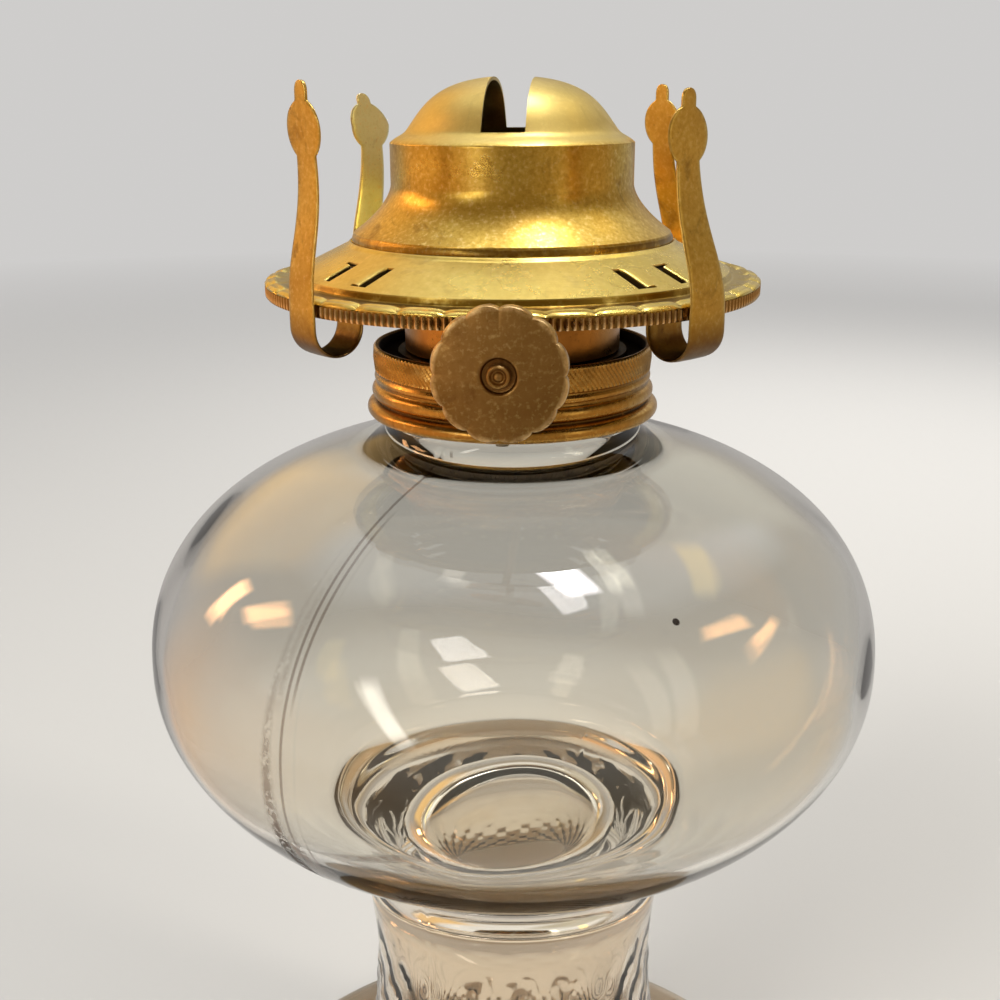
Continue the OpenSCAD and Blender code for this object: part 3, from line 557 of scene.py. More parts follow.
def make_woven_cotton():
    """Flat woven wick: warp cords along Z crossed by weft, with a scorched top."""
    material, tree, shader = new_material("woven_cotton")
    where = object_space(tree)
    split = put(tree, "ShaderNodeSeparateXYZ", {0: where}).outputs
    warp = math_node(tree, "SINE", math_node(tree, "MULTIPLY", split["Y"], 2 * math.pi / 0.0011))
    weft = math_node(tree, "SINE", math_node(tree, "MULTIPLY", split["Z"], 2 * math.pi / 0.0009))
    cloth = math_node(tree, "MULTIPLY", warp, weft)
    fuzz = cloud(tree, where, 1800.0, 4.0, 0.7)
    tone = remap(tree, math_node(tree, "ADD", cloth, fuzz), -0.6, 1.6)
    base = mix_colour(tree, tone, (0.50, 0.43, 0.32, 1), (0.86, 0.81, 0.70, 1))
    burnt = remap(tree, math_node(tree, "ADD", split["Z"], math_node(tree, "MULTIPLY", fuzz, 0.002)),
                  0.1962, 0.1996)
    base = mix_colour(tree, burnt, base, (0.03, 0.022, 0.018, 1))
    tree.links.new(base, shader.inputs["Base Color"])
    shader.inputs["Roughness"].default_value = 0.9
    bump = put(tree, "ShaderNodeBump", {"Strength": 0.8, "Distance": 0.0003,
                                        "Height": math_node(tree, "ADD", cloth, fuzz)})
    tree.links.new(bump.outputs[0], shader.inputs["Normal"])
    return material


clear_glass = make_clear_glass()
old_plaster = make_plaster()
woven_cotton = make_woven_cotton()


# Glass foot, stem and font
STEM_R, STEM_WALL, WAIST = 25.7, 4.0, 54.0
DIMPLE_COLUMNS = 20


def glass_profile():
    """The closed section from the top of the hollow under the font to the floor inside it."""
    up, down = bulge(FONT_R, 36.7, 2.31, 27.0, 60), bulge(FONT_R, 37.2, 2.04, STEM_R + 8.3, 60)
    up[:, 1] += FONT_MID
    down[:, 1] = FONT_MID - down[:, 1]
    top, bottom = up[-1], down[-1]
    in_way = (up[-1] - up[-2]) / np.hypot(*(up[-1] - up[-2]))
    out_way = (down[-1] - down[-2]) / np.hypot(*(down[-1] - down[-2]))
    foot = bezier((60.0, 3.0), (36.0, 8.0), (STEM_R + 1.4, 17.0), (STEM_R, WAIST), 70)
    stem = bezier((STEM_R, WAIST + 2), (STEM_R + 0.2, bottom[1] - 14), bottom + 5 * out_way, bottom, 24)
    neck = bezier(top + 0.3 * in_way, top + 3 * in_way, (20.6, LIP - 11.6), (20.6, LIP - 9.2), 14)
    lip = [(20.6, LIP - 0.7), (20.4, LIP - 0.2), (19.9, LIP), (17.4, LIP), (17.0, LIP - 0.15), (16.9, LIP - 0.5)]
    under_stem = bezier((21.7, WAIST - 4), (22.7, 14.0), (33.6, 5.0), (57.4, 0.0), 50)
    cap = bezier((9.0, 74.6), (16.0, 73.7), (21.7, 70.2), (21.7, 64.2), 14)
    under = np.concatenate([[(0.0, 75.2), (4.5, 75.05)], cap, finer([(21.7, 62.0), (21.7, 52.0)], 3), under_stem])
    edge = rounded([(57.4, 0.0), (60.0, 0.0), (60.0, 3.0), (57.0, 3.9)], 1.2)[1:-1]
    inside_up = bulge(58.0, 34.1, 2.31, 16.9, 60)
    inside_down = bulge(58.0, 32.0, 2.2, 0.0, 60)
    inside_up[:, 1] += FONT_MID
    inside_down[:, 1] = FONT_MID - inside_down[:, 1]
    inside_down[-1, 0] = 0.0
    bore = finer([(16.9, LIP - 2), inside_up[-1] + (0, 1.0)], 2)
    outer = np.concatenate([under, edge, foot[3:], stem, down[::-1][1:], up[1:], neck,
                            finer([(20.6, LIP - 9), (20.6, LIP - 1)], 2), lip])
    inner = np.concatenate([bore, inside_up[::-1], inside_down[1:]])
    return outer, inner, len(under)


def glass_form(outer_from, inner_from):
    """Pressed ovals round the stem, two mould seams, and the uneven thickness of old glass."""
    def form(r, z, azimuth):
        rows = np.arange(len(r))[:, None]
        outside = (rows >= outer_from) & (rows < inner_from)
        a = np.broadcast_to(azimuth, r.shape)
        dent = np.zeros_like(r)
        for row, height in enumerate(np.arange(20.0, 60.0, 5.4)):
            turn = (a / (2 * math.pi) * DIMPLE_COLUMNS + 0.5 * (row % 2)) % 1.0 - 0.5
            across = turn * 2 * math.pi * STEM_R / DIMPLE_COLUMNS / 3.4
            along = (z - height) / 5.2
            dent = np.maximum(dent, np.clip(1 - across ** 2 - along ** 2, 0, 1) ** 0.8)
        r = np.where(outside & (z > 12) & (z < 68), r - 0.55 * dent, r)
        for where in (SEAM_AZIMUTH, SEAM_AZIMUTH + math.pi):
            off = (a - where + math.pi) % (2 * math.pi) - math.pi
            ridge = np.exp(-(off * np.maximum(r, 8) / 0.32) ** 2)
            r = np.where(outside & (z > 3.2) & (z < LIP - 10), r + 0.16 * ridge, r)
        wave = np.vectorize(lambda x, y, h: noise.noise(Vector((x, y, h))))
        x, y = r * np.sin(a), -r * np.cos(a)
        swell = wave(x / 26, y / 26, z / 20)
        font_only = np.clip((z - 84) / 8, 0, 1) * np.clip((150 - z) / 12, 0, 1)
        inward = np.where(rows >= inner_from, 0.6, -0.16) * font_only
        ripple = 0.10 * np.sin(z * 2 * math.pi / 1.5 + 2 * swell) * np.clip((96 - z) / 5, 0, 1) * np.clip((z - 86) / 3, 0, 1)
        return r + inward * swell + np.where(rows >= inner_from, ripple, 0), z
    return form


def make_glass():
    outer, inner, outer_from = glass_profile()
    profile = np.concatenate([outer, inner])
    piece = lathe("pressed_glass", profile, 288, glass_form(outer_from, len(outer)), ring=False, sharp=50)
    dress(piece, clear_glass)
    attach(piece, "lamp")
    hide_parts("lamp_glass")
    return piece


# Collar with its slanted knurl
KNURLS = 168


def knurl(r, z, azimuth):
    band = (z > COLLAR_TOP - 3.75) & (z < COLLAR_TOP - 0.5) & (r > 21.9)
    lines = np.cos(KNURLS * azimuth + (z - COLLAR_TOP) * 6.3)
    return np.where(band, r - 0.13 + 0.13 * lines, r), z


def make_collar():
    outline = [(16.1, SEAT - 7), (16.1, SEAT), (21.4, SEAT), (21.4, COLLAR_TOP - 0.3), (21.7, COLLAR_TOP),
               (22.1, COLLAR_TOP)]
    band = finer([(22.4, COLLAR_TOP - 0.35), (22.5, COLLAR_TOP - 2), (22.3, COLLAR_TOP - 3.9)], 0.35)
    groove = [(21.9, COLLAR_TOP - 4.2), (21.95, COLLAR_TOP - 4.5), (22.3, COLLAR_TOP - 4.75),
              (22.35, COLLAR_TOP - 5.0), (22.3, COLLAR_TOP - 5.3), (21.9, COLLAR_TOP - 5.6),
              (21.9, COLLAR_TOP - 5.9)]
    bead = [(21.55 + 1.25 * math.cos(a), COLLAR_TOP - 7.3 + 1.25 * math.sin(a))
            for a in np.radians(np.linspace(68, -68, 15))]
    lip = rounded([(22.0, FLANGE + 2.35), (22.9, FLANGE + 2.15), (23.6, FLANGE + 1.5), (23.6, FLANGE + 0.6),
                   (23.1, FLANGE), (22.4, FLANGE), (21.3, FLANGE + 0.9)], 0.6)
    inside = [(21.3, SEAT - 0.5), (16.6, SEAT - 0.5), (16.6, SEAT - 7)]
    profile = np.concatenate([outline, band, groove, bead, lip, inside])
    piece = lathe("screw_collar", profile, KNURLS * 6, knurl, sharp=50)
    dress(piece, collar_brass)
    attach(piece, "lamp")
    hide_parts("collar")
    return piece


# Deflector dome
def make_dome():
    shoulder = SEAM + 14.65
    t = np.linspace(0, 1, 26)
    flare = np.stack([24.75 - 5.9 * (1 - (1 - t) ** 1.7), SEAM + 1.35 + 7.2 * t], -1)
    cap = np.concatenate([
        bezier((18.85, shoulder), (17.6, shoulder + 1.1), (16.9, shoulder + 1.0), (16.2, shoulder + 1.9), 10),
        bezier((16.2, shoulder + 1.9), (13.6, shoulder + 5.4), (11.6, DOME_TOP), (0.0, DOME_TOP), 34)[1:]])
    roll = [(24.6, SEAM), (25.1, SEAM), (25.1, SEAM + 0.55), (24.95, SEAM + 0.95), (24.78, SEAM + 1.15)]
    band = finer([(18.85, SEAM + 8.9), (18.85, shoulder - 0.3)], 1.0)
    outer = np.concatenate([rounded(roll, 0.25), flare, band, rounded([band[-1], cap[0], cap[1]], 0.4)[1:-1], cap[1:]])
    inner = outer[::-1].copy()
    away = np.gradient(outer, axis=0)
    away /= np.hypot(away[:, 0], away[:, 1])[:, None]
    inner = (outer + 0.5 * np.stack([-away[:, 1], away[:, 0]], -1))[::-1]
    inner[0] = (0.0, DOME_TOP - 0.5)
    inner = inner[(inner[:, 1] > SEAM + 0.6) & (inner[:, 1] < DOME_TOP)]
    inner[0, 0] = 0.0
    profile = np.concatenate([outer[1:], inner, [(24.25, SEAM)]])
    piece = lathe("deflector_dome", profile, 288, ring=True)
    cut_box(piece, (-2.7, -30, SEAM + 16.45), (3.65, 30, DOME_TOP + 2))
    dress(piece, dome_brass)
    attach(piece, "burner")
    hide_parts("dome")
    return piece


# Gallery
SHEET = 0.5
SLIT_IN, SLIT_OUT, SLIT_MID, EAR_DROP = 28.4, 32.9, 30.5, 1.5


def cone_height(r):
    return SEAM - CONE_SLOPE * (r - CONE_IN)


def rim_form(r, z, azimuth):
    """Pillows over the rim and fine teeth round the band."""
    groove = np.abs(((azimuth + PILLOW_TURN) / (2 * math.pi) * PILLOWS) % 1.0 * 2 - 1) ** 4
    outward = np.clip((r - 35.8) / 1.3, 0, 1)
    top = (z > BAND_TOP + 0.2) & (r > 35.8)
    z = np.where(top, z - 0.36 * groove * outward, z)
    r = np.where(top & (r > GALLERY_R - 0.6), r - 0.2 * groove, r)
    tooth = np.abs((azimuth / (2 * math.pi) * TEETH) % 1.0 * 2 - 1)
    band = (z < BAND_TOP - 0.05) & (z > BAND_LOW + 0.1) & (r > GALLERY_R - 0.35)
    return np.where(band, r - 0.3 * tooth, r), z


def toward_front(azimuth):
    return 1 if azimuth * (1 if abs(azimuth) < 90 else -1) < 0 else -1


def ear_sides(azimuth):
    """Side of each lanced ear, and how far from the prong's middle it starts, turns down and leaves the cut open to."""
    near = toward_front(azimuth)
    return (near, 3.0, 4.7, 6.1), (-near, 5.1, 3.4, 1.9)


def slant_ears(verts, index, cone, first, last):
    """Turns the columns of the cone beside each prong so that its two cuts run parallel and slant."""
    step = 2 * math.pi / GALLERY_STEPS
    for azimuth in PRONG_AZIMUTHS.values():
        centre, front = math.radians(azimuth), toward_front(azimuth)
        for j in range(int(centre / step) - 60, int(centre / step) + 61):
            off = (j * step - centre) * SLIT_MID * front
            share = 1 - min(1.0, max(0.0, (abs(off) - 6.3) / 3.2))
            share = share * share * (3 - 2 * share)
            for k, r in enumerate(cone):
                fade = min(1.0, (r - cone[0]) / 1.6, (cone[-1] - r) / 0.7)
                straight = off + (0.02 * off - 0.24) * (r - SLIT_MID)
                turn = front * share * fade * (straight - off * r / SLIT_MID) / r
                for row in (first + k, last - k):
                    v = index[row][j % GALLERY_STEPS]
                    x, y, z = verts[v]
                    verts[v] = (x * math.cos(turn) - y * math.sin(turn), x * math.sin(turn) + y * math.cos(turn), z)


def make_gallery():
    cone = np.linspace(CONE_IN + 0.9, CONE_OUT, 34)
    drop = SHEET * math.sqrt(1 + CONE_SLOPE ** 2)
    start = rounded([(22.5, SEAM - SHEET), (22.5, SEAM), (25.1, SEAM)], 0.2)[1:]
    bead = [(25.3, SEAM + 0.1), (25.55, SEAM + 0.02), (25.75, SEAM - 0.22)]
    over = np.stack([cone, cone_height(cone)], -1)
    edge = GALLERY_R
    rim = rounded([(34.0, cone_height(34.0)), (34.35, RIM), (edge - 2.2, RIM), (edge - 1.65, RIM + 0.34),
                   (edge - 1.05, RIM + 0.08), (edge - 0.4, RIM - 0.02), (edge, BAND_TOP + 0.32),
                   (edge, BAND_TOP + 0.12)], 0.4)[1:]
    band = [(edge - 0.25, BAND_TOP + 0.02)] + [(edge, BAND_LOW + h) for h in (1.7, 1.2, 0.75, 0.3)]
    curl = [(edge - 0.2, BAND_LOW + 0.05), (edge - 0.45, BAND_LOW), (edge - 0.8, BAND_LOW + 0.1),
            (edge - 0.8, BAND_LOW + 1.3), (edge - 1.35, RIM - SHEET - 0.05), (34.2, RIM - SHEET), (33.95, RIM - 0.3)]
    back = np.stack([cone, cone_height(cone) - drop], -1)[::-1]
    tail = [(25.0, SEAM - SHEET - 0.05)]
    profile = np.concatenate([start, bead, over, rim, band, curl, back, tail])
    first = len(start) + len(bead)
    last = len(profile) - 2
    hole = np.zeros((len(profile), GALLERY_STEPS), bool)
    dip = np.zeros((len(cone), GALLERY_STEPS))
    step = 2 * math.pi / GALLERY_STEPS
    k_in, k_out = np.searchsorted(cone, SLIT_IN), np.searchsorted(cone, SLIT_OUT)
    for azimuth in PRONG_AZIMUTHS.values():
        for side, *across in ear_sides(azimuth):
            leg_out = side == toward_front(azimuth)
            near, cut_a, cut_b = (int(round((math.radians(azimuth) + side * off / SLIT_MID) / step)) for off in across)
            lo, hi = sorted((cut_a, cut_b))
            columns = np.arange(lo, hi) % GALLERY_STEPS
            hole[first + k_in:first + k_out, columns] = True
            leg = np.arange(*sorted((near, cut_b))) % GALLERY_STEPS
            free_end = k_out - 2 if leg_out else k_in
            hole[first + free_end:first + free_end + 2, leg] = True
            rows = np.arange(k_in, free_end + 1) if leg_out else np.arange(free_end + 2, k_out + 1)
            ramp = np.clip((rows - k_in if leg_out else k_out - rows) / 5, 0, 1)
            for j in range(min(near, cut_a), max(near, cut_a) + 1):
                share = abs(j - near) / abs(cut_a - near)
                drop = 0.25 * share ** 2 + EAR_DROP * max(0.0, (share - 0.68) / 0.32) ** 1.8
                dip[rows, j % GALLERY_STEPS] = drop * ramp ** 1.3
    for k in range(len(cone) - 1):
        hole[last - 1 - k] = hole[first + k]

    def form(r, z, azimuth):
        r, z = rim_form(r, z, azimuth)
        z = z.copy()
        z[first:first + len(cone)] -= dip
        z[last - len(cone) + 1:last + 1] -= dip[::-1]
        return r, z

    verts, faces, index = lathe_parts(profile, GALLERY_STEPS, form, True, hole)
    slant_ears(verts, index, cone, first, last)
    top, under = index[first:first + len(cone)], index[last - len(cone) + 1:last + 1][::-1]
    cells = hole[first:first + len(cone)]
    for k in range(k_in - 1, k_out + 2):
        for j in np.nonzero(cells[k - 1:k + 1].any(0) | np.roll(cells[k], 1))[0]:
            right = (j + 1) % GALLERY_STEPS
            if cells[k, j] != cells[k - 1, j]:
                faces.append([int(v) for v in (top[k, j], top[k, right], under[k, right], under[k, j])])
            if cells[k, j] != cells[k, j - 1]:
                faces.append([int(v) for v in (top[k, j], top[k + 1, j], under[k + 1, j], under[k, j])])
    mesh = bpy.data.meshes.new("gallery_sheet")
    mesh.from_pydata(verts, [], faces)
    piece = finish_mesh("gallery_sheet", mesh)
    dress(piece, gallery_brass)
    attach(piece, "burner")
    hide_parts("gallery")
    return piece


# Spring prongs
PRONG_T, HEAD_Z, HEAD_R = 0.55, SEAM + 16.55, 4.0
LEG_R, STRIP_R, LOOP_LOW = 31.4, 39.875, BAND_LOW - 5.7
# How far each head is bent outwards and upwards, the height of its tip, how far the strip and the inner leg
# stand out from their places, and half the width of the loop
PRONG_SET = {"front_left": (1.4, 0.6, 6.4, -0.5, 0.0, 3.2), "front_right": (-1.0, -0.35, 6.15, 0.05, 0.8, 3.75),
             "rear_left": (1.0, -0.1, 5.5, -0.1, 0.0, 3.3), "rear_right": (-1.8, 0.25, 6.4, 0.0, 0.0, 3.3)}
# How far each tip is bent sideways for each millimetre above the middle of its head
TIP_SIDE = {"front_left": 0.0, "front_right": 0.0, "rear_left": 0.30, "rear_right": 0.0}


def prong_path(lean_by, rise_by, tip_h, strip_by, leg_by, wide):
    """Centre line of the strip, and its half width at each point."""
    strip_r, leg_r = STRIP_R + strip_by, LEG_R + leg_by
    loop = (strip_r - leg_r) / 2
    centre_z = LOOP_LOW + loop
    under = (SHEET + PRONG_T / 2) * math.sqrt(1 + CONE_SLOPE ** 2) + 0.4
    tongue = [(r, cone_height(r) - under) for r in (26.8, 28.0, 29.2, 30.4)]
    bend = bezier((30.9, cone_height(30.9) - under - 0.05), (leg_r - 0.1, cone_height(leg_r) - under - 0.1),
                  (leg_r, cone_height(leg_r) - under - 0.6), (leg_r, cone_height(leg_r) - under - 1.4), 6)
    drop = finer([bend[-1], (leg_r, centre_z)], 0.8)[1:]
    turn = [(leg_r + loop + loop * math.cos(a), centre_z + loop * math.sin(a))
            for a in np.radians(np.linspace(180, 360, 25))][1:]
    rise = finer([(strip_r, centre_z), (strip_r, BAND_LOW + 2.3)], 0.8)[1:]
    lean = bezier((strip_r, BAND_LOW + 2.3), (strip_r - 0.3, BAND_LOW + 8.8), (36.3, HEAD_Z - 12.3),
                  (36.2, HEAD_Z - 3.3), 40)[1:]
    head = finer([(36.2, HEAD_Z - 3.3), (36.2, HEAD_Z + tip_h)], 0.16)[1:]
    line = np.concatenate([tongue, bend, drop, turn, rise, lean, head])
    half = np.full(len(line), wide)
    inner = np.arange(len(line)) < len(tongue) + len(bend) + len(drop)
    half[inner & (line[:, 1] > centre_z + 4)] = 2.3
    ease = inner & (line[:, 1] > centre_z + 2.5) & (line[:, 1] <= centre_z + 4)
    half[ease] = 3.0
    outer = ~inner & (line[:, 0] > leg_r + loop)
    climb = np.clip((line[:, 1] - centre_z - 1) / (HEAD_Z - 4.6 - centre_z), 0, 1)
    half[outer] = wide - (wide - 2.3) * climb[outer] ** 1.2
    up = line[:, 1] - HEAD_Z
    disc = np.sqrt(np.clip(HEAD_R ** 2 - up ** 2, 0, None))
    at_head = outer & (up > -HEAD_R)
    half[at_head & (up <= 0)] = np.maximum(half, disc)[at_head & (up <= 0)]
    tip = np.where(up < tip_h - 1.35, 1.4, np.sqrt(np.clip(1.38 ** 2 - (up - tip_h + 1.35) ** 2, 0, None)))
    fillet = 1.4 + 1.2 * np.exp(-np.clip(up - 3.5, 0, None) / 0.55)
    half[at_head & (up > 0)] = np.maximum(disc, np.minimum(tip, fillet))[at_head & (up > 0)]
    half[-1] = 0.05
    half[:len(tongue)] = 1.7
    share = np.where(outer, np.clip((line[:, 1] - BAND_LOW - 2.3) / (HEAD_Z - BAND_LOW - 2.3), 0, 1.1), 0)
    line[:, 0] += lean_by * share ** 1.2
    line[:, 1] += rise_by * np.minimum(share, 1)
    return line, half


def make_prong(name, azimuth):
    line, half = prong_path(*PRONG_SET[name])
    along = np.gradient(line, axis=0)
    along /= np.hypot(along[:, 0], along[:, 1])[:, None]
    normal = np.stack([-along[:, 1], along[:, 0]], -1)
    across = np.sin(np.linspace(-math.pi / 2, math.pi / 2, 15))
    thick = PRONG_T / 2 * np.sqrt(np.clip(1 - np.abs(across) ** 10, 0, 1))
    bow = 0.12 * (1 - across ** 2)
    turn = math.radians(azimuth)
    out, side = np.array((math.sin(turn), -math.cos(turn))), np.array((math.cos(turn), math.sin(turn)))
    verts = []
    for face in (1, -1):
        for p, n, w in zip(line, normal, half):
            shift = TIP_SIDE[name] * max(0.0, p[1] - HEAD_Z)
            for v, t, b in zip(across, thick, bow):
                r, z = p + n * (face * t - b * 0.5)
                x, y = out * r + side * (v * w + shift)
                verts.append((x * MM, y * MM, z * MM))
    rows, cols = len(line), len(across)
    faces = []
    for layer in (0, 1):
        base = layer * rows * cols
        for i in range(rows - 1):
            for j in range(cols - 1):
                a = base + i * cols + j
                faces.append([a, a + 1, a + cols + 1, a + cols])
    for i in (0, rows - 1):
        for j in range(cols - 1):
            a = i * cols + j
            b = a + rows * cols
            faces.append([a, a + 1, b + 1, b])
    mesh = bpy.data.meshes.new("spring_prong_" + name)
    mesh.from_pydata(verts, [], faces)
    piece = finish_mesh("spring_prong_" + name, mesh, 60)
    # The rear left prong takes the paler copy with painted sheen.
    dress(piece, prong_brass_painted_sheen if name == "rear_left" else prong_brass)
    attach(piece, "prong_" + name)
    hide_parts("prong_" + name)
    return piece


# Thumb wheel
LOBES = 12
WHEEL_PLACE = Matrix.Translation((SHAFT_X * MM, WHEEL_Y * MM, SHAFT_Z * MM)) @ Matrix.Rotation(math.pi / 2, 4, "X")


def make_thumb_wheel():
    face = [(r, -0.55 * (r / 9) ** 2) for r in np.linspace(2.9, 8.2, 24)]
    front = [(0.97, -0.62), (1.9, -0.62), (2.15, -0.55), (2.35, -0.1), (2.6, 0.0)] + face
    edge = rounded([(8.3, -0.47), (8.85, -0.55), (9.0, -0.9), (9.0, -2.15), (8.7, -2.2), (8.5, -2.15),
                    (8.5, -1.2), (8.2, -1.0)], 0.3)
    back = [(r, -0.55 * (r / 9) ** 2 - 0.5) for r in np.linspace(7.9, 2.9, 12)] + [(2.3, -1.12), (0.97, -1.12)]
    profile = np.concatenate([front, edge, back])

    def lobed(r, z, azimuth):
        wave = np.abs((azimuth / (2 * math.pi) * LOBES) % 1.0 * 2 - 1)
        dip = 0.55 * (1 - np.sqrt(np.clip(1 - wave ** 2 * 0.9, 0, 1))) / (1 - math.sqrt(0.1))
        return r - dip * np.clip((r - 4) / 4.2, 0, 1) ** 2, z

    piece = lathe("pressed_thumb_wheel", profile, LOBES * 24, lobed, sharp=45)
    piece.data.transform(WHEEL_PLACE)
    dress(piece, wheel_brass)
    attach(piece, "raiser")
    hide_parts("thumb_wheel")
    return piece


def make_shaft():
    """The wire shaft: its riveted head has a dimple with a nub in it."""
    rear = -(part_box("raiser_shaft")[1].y / MM - WHEEL_Y)
    head = [(0.0, 0.42), (0.3, 0.40), (0.52, 0.28), (0.64, 0.08), (0.78, 0.0), (0.92, 0.1), (1.06, 0.42), (1.2, 0.57),
            (1.36, 0.56), (1.5, 0.42), (1.6, 0.15), (1.62, -0.6), (0.95, -0.6)]
    rod = [(0.95, -1.12), (1.45, -1.12), (1.45, -2.0), (0.95, -2.0)] + [
        tuple(p) for p in finer([(0.95, -2.1), (0.95, rear + 0.65)], 4.0)] + [
        (0.95, rear + 0.6), (1.45, rear + 0.6), (1.45, rear), (0.0, rear)]
    piece = lathe("riveted_wire_shaft", rounded(head, 0.12)[:-1].tolist() + [head[-1]] + rod, 48, ring=False)
    piece.data.transform(WHEEL_PLACE)
    dress(piece, wheel_brass)
    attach(piece, "raiser")
    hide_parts("raiser_shaft")
    return piece


make_glass()
make_collar()
make_dome()
make_gallery()
for prong_name, prong_azimuth in PRONG_AZIMUTHS.items():
    make_prong(prong_name, prong_azimuth)
make_thumb_wheel()
make_shaft()

NODE_FINISH = {
    "collar_plaster": old_plaster, "thread_shell": painted_shade_brass, "burner_cup": brown_brass,
    "air_basket": sooty_brass, "wick_tube": brown_brass, "ratchet_box": brown_brass, "vent_tube": brown_brass,
    "shaft_bush": wheel_brass, "spur_wheel_front": dark_steel,
    "spur_wheel_middle": dark_steel, "spur_wheel_rear": dark_steel, "wick": woven_cotton,
}
for node_name, finish in NODE_FINISH.items():
    for material_slot in nodes[node_name].material_slots:
        material_slot.material = finish


# Floor, backdrop and light
BACKDROP = (0.62, 0.61, 0.60, 1)
# What metal and glass mirror of the room, low down at the left, in front, at the right, and high up
ROOM_LEFT, ROOM_FRONT = (0.95, 0.55, 0.26, 1), (0.33, 0.255, 0.166, 1)
ROOM_RIGHT, ROOM_HIGH, ROOM_BACK = (0.47, 0.32, 0.17, 1), (0.30, 0.22, 0.12, 1), (0.44, 0.42, 0.40, 1)


def room_tone(tree, way):
    """Warm light of the room in a direction, orange at the left."""
    split = put(tree, "ShaderNodeSeparateXYZ", {0: way}).outputs
    tone = mix_colour(tree, remap(tree, split["X"], -0.15, -0.95), ROOM_FRONT, ROOM_LEFT)
    tone = mix_colour(tree, remap(tree, split["X"], 0.3, 0.9), tone, ROOM_RIGHT)
    return mix_colour(tree, remap(tree, split["Y"], 0.18, 0.5), tone, ROOM_BACK)


def make_floor():
    mesh = bpy.data.meshes.new("studio_floor")
    work = bmesh.new()
    bmesh.ops.create_circle(work, cap_ends=True, radius=6.0, segments=96)
    work.to_mesh(mesh)
    work.free()
    floor = bpy.data.objects.new("studio_floor", mesh)
    bpy.context.scene.collection.objects.link(floor)
    floor.location.z = -0.0004
    material, tree, shader = new_material("pale_floor")
    shader.inputs["Base Color"].default_value = (0.60, 0.59, 0.57, 1)
    shader.inputs["Roughness"].default_value = 0.9
    shader.inputs["Specular IOR Level"].default_value = 0.1
    far = put(tree, "ShaderNodeVectorMath", {0: object_space(tree)}, operation="LENGTH").outputs["Value"]
    path = put(tree, "ShaderNodeLightPath").outputs
    way = put(tree, "ShaderNodeVectorMath", {0: object_space(tree)}, operation="NORMALIZE").outputs["Vector"]
    tone = mix_colour(tree, path["Is Glossy Ray"], BACKDROP, room_tone(tree, way))
    glow = put(tree, "ShaderNodeEmission", {"Color": tone, "Strength": 1.0})
    seen = math_node(tree, "ADD", path["Is Camera Ray"], path["Is Transmission Ray"], clamp=True)
    share = math_node(tree, "MAXIMUM", math_node(tree, "MULTIPLY", remap(tree, far, 0.25, 1.6), seen),
                      math_node(tree, "MULTIPLY", remap(tree, far, 0.08, 0.30), path["Is Glossy Ray"]))
    blend = put(tree, "ShaderNodeMixShader", {0: share, 1: shader.outputs[0], 2: glow.outputs[0]})
    output = next(n for n in tree.nodes if n.type == "OUTPUT_MATERIAL")
    tree.links.new(blend.outputs[0], output.inputs["Surface"])
    mesh.materials.append(material)


def window(tree, way, aim, width, height, lean=0.0):
    """Mask of a soft-edged light seen in the direction aim, by the tangents of its half width and height."""
    aim = Vector(aim).normalized()
    side = aim.cross(Vector((0, 0, 1))).normalized()
    side = Matrix.Rotation(lean, 3, aim) @ side
    rise = side.cross(aim)

    def along(axis):
        return put(tree, "ShaderNodeVectorMath", {0: way, 1: axis}, operation="DOT_PRODUCT").outputs["Value"]

    ahead = along(aim)
    mask = remap(tree, ahead, 0.0, 0.05)
    for axis, half in ((side, width), (rise, height)):
        share = math_node(tree, "ABSOLUTE", math_node(tree, "DIVIDE", along(axis), ahead))
        mask = math_node(tree, "MULTIPLY", mask, remap(tree, share, half * 1.25, half * 0.75))
    return mask


# Direction, half width, half height, lean and light of each window
WINDOWS = [
    ((0.00, 0.50, 0.87), 0.80, 0.62, 0.0, (1.02, 1.00, 0.98, 1)),
    ((0.28, 0.80, 0.55), 0.20, 0.42, 0.0, (0.66, 0.61, 0.50, 1)),
    ((-0.60, 0.65, 0.46), 0.32, 0.34, 0.0, (1.05, 0.68, 0.28, 1)),
    ((-0.90, 0.27, 0.35), 0.05, 0.15, 0.2, (11.0, 5.6, 2.4, 1)),
    ((-0.85, 0.06, 0.53), 0.06, 0.13, -0.3, (10.0, 5.2, 2.2, 1)),
    ((0.17, 0.13, 0.98), 0.12, 0.06, 0.0, (30, 29, 30, 1)),
    ((-0.50, -0.80, 0.30), 0.05, 0.30, 0.5, (7.0, 6.6, 5.8, 1)),
    ((0.75, -0.45, 0.35), 0.06, 0.40, -0.2, (1.8, 1.6, 1.2, 1)),
    ((0.53, 0.36, 0.765), 0.19, 0.05, 0.0, (2.4, 1.9, 0.9, 1)),
    ((0.325, 0.17, 0.89), 0.27, 0.04, 0.0, (2.6, 2.5, 2.2, 1)),
    ((-0.185, 0.235, 0.95), 0.14, 0.035, 0.735, (4.0, 3.8, 3.4, 1)),
]


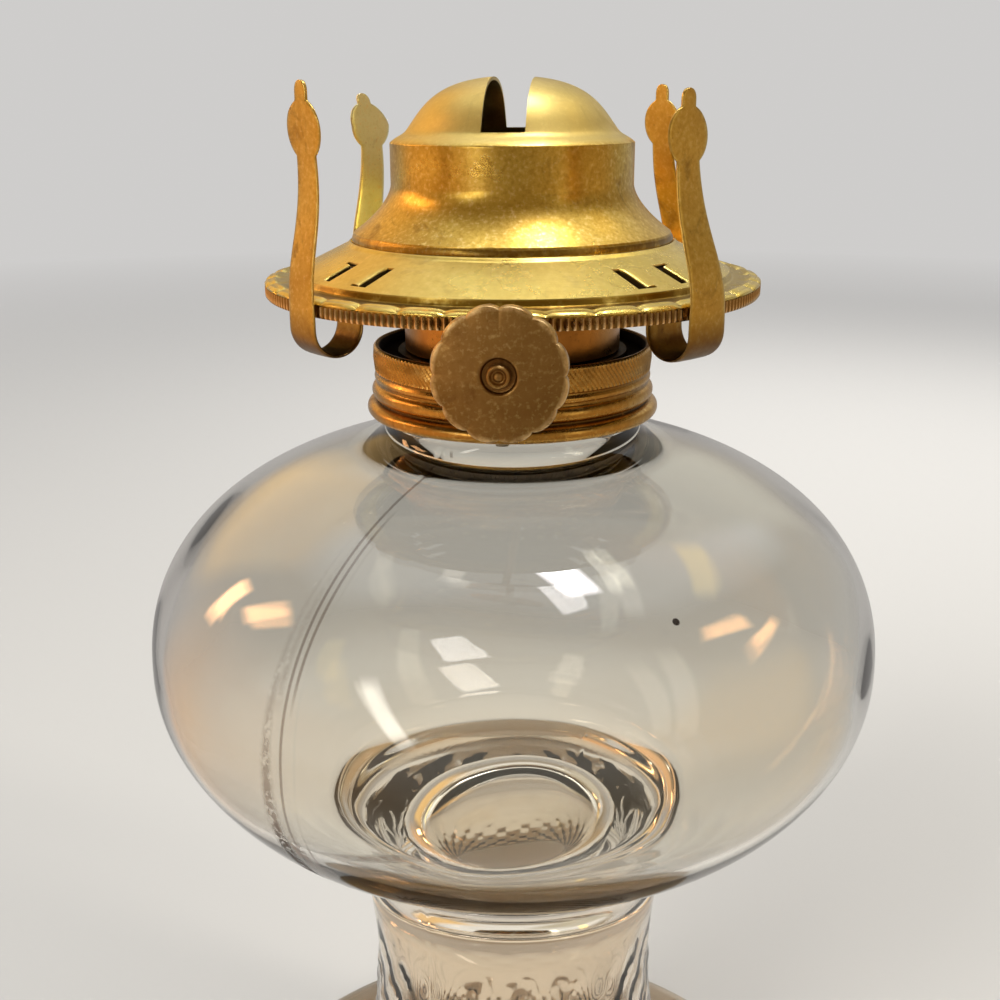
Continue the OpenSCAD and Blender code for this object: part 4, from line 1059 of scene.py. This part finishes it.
def make_world():
    """Pale all round for the camera. Metal and glass mirror a darker room with soft windows."""
    world = bpy.data.worlds.new("studio")
    bpy.context.scene.world = world
    world.use_nodes = True
    tree = world.node_tree
    way = put(tree, "ShaderNodeTexCoord").outputs["Generated"]
    up = put(tree, "ShaderNodeSeparateXYZ", {0: way}).outputs["Z"]
    path = put(tree, "ShaderNodeLightPath").outputs
    direct = math_node(tree, "ADD", path["Is Camera Ray"], path["Is Transmission Ray"], clamp=True)
    mirrored = mix_colour(tree, remap(tree, up, 0.0, 0.5), room_tone(tree, way), ROOM_HIGH)
    for aim, width, height, lean, light in WINDOWS:
        mirrored = mix_colour(tree, window(tree, way, aim, width, height, lean), mirrored, light)
    colour = mix_colour(tree, direct, (0.42, 0.42, 0.42, 1), BACKDROP)
    colour = mix_colour(tree, path["Is Glossy Ray"], colour, mirrored)
    background = next(n for n in tree.nodes if n.type == "BACKGROUND")
    tree.links.new(colour, background.inputs["Color"])
    background.inputs["Strength"].default_value = 1.0


def soft_lamp(name, place, size, power, colour=(1, 1, 1), aim=(0, 0, 0.13)):
    lamp = bpy.data.lights.new(name, "AREA")
    lamp.shape, lamp.size, lamp.size_y = "RECTANGLE", size[0], size[1]
    lamp.energy, lamp.color = power, colour
    holder = bpy.data.objects.new(name, lamp)
    bpy.context.scene.collection.objects.link(holder)
    holder.location = place
    holder.rotation_mode = "QUATERNION"
    holder.rotation_quaternion = (Vector(aim) - Vector(place)).to_track_quat("-Z", "Y")
    holder.visible_glossy = holder.visible_transmission = False


make_floor()
make_world()
soft_lamp("key_softbox", (-0.55, -0.75, 0.75), (0.5, 0.4), 9.0, (1.0, 0.97, 0.92))
soft_lamp("side_strip", (0.75, -0.25, 0.45), (0.12, 0.6), 4.0, (1.0, 0.93, 0.82))
soft_lamp("back_softbox", (0.25, 0.8, 0.6), (0.6, 0.3), 6.0, (1.0, 0.98, 0.95))


# Camera, at the photograph's place
CAMERA_TURN, CAMERA_AWAY, CAMERA_HEIGHT = math.radians(6.5), 198.98, 176 + 29.576
PITCH, YAW, ROLL = 0.314309, 0.010543, -0.004099
FOCAL_PIXELS, FRAME_PIXELS, SENSOR = 1241.77, 1000.0, 36.0


def make_camera():
    right = Vector((math.cos(YAW), math.sin(YAW), 0))
    ahead = Vector((-math.sin(YAW), math.cos(YAW), 0))
    up = Vector((0, 0, 1))
    forward = ahead * math.cos(PITCH) - up * math.sin(PITCH)
    above = up * math.cos(PITCH) + ahead * math.sin(PITCH)
    across = right * math.cos(ROLL) + above * math.sin(ROLL)
    above = above * math.cos(ROLL) - right * math.sin(ROLL)
    basis = Matrix((across, above, -forward)).transposed()
    turn = Matrix.Rotation(CAMERA_TURN, 3, "Z")
    data = bpy.data.cameras.new("camera")
    data.sensor_width = SENSOR
    data.lens = FOCAL_PIXELS / FRAME_PIXELS * SENSOR
    data.clip_start, data.clip_end = 0.01, 50.0
    camera = bpy.data.objects.new("camera", data)
    bpy.context.scene.collection.objects.link(camera)
    place = turn @ Vector((0, -CAMERA_AWAY, CAMERA_HEIGHT)) * MM
    camera.matrix_world = Matrix.Translation(place) @ (turn @ basis).to_4x4()
    bpy.context.scene.camera = camera


make_camera()
bpy.context.scene.view_settings.view_transform = "Standard"
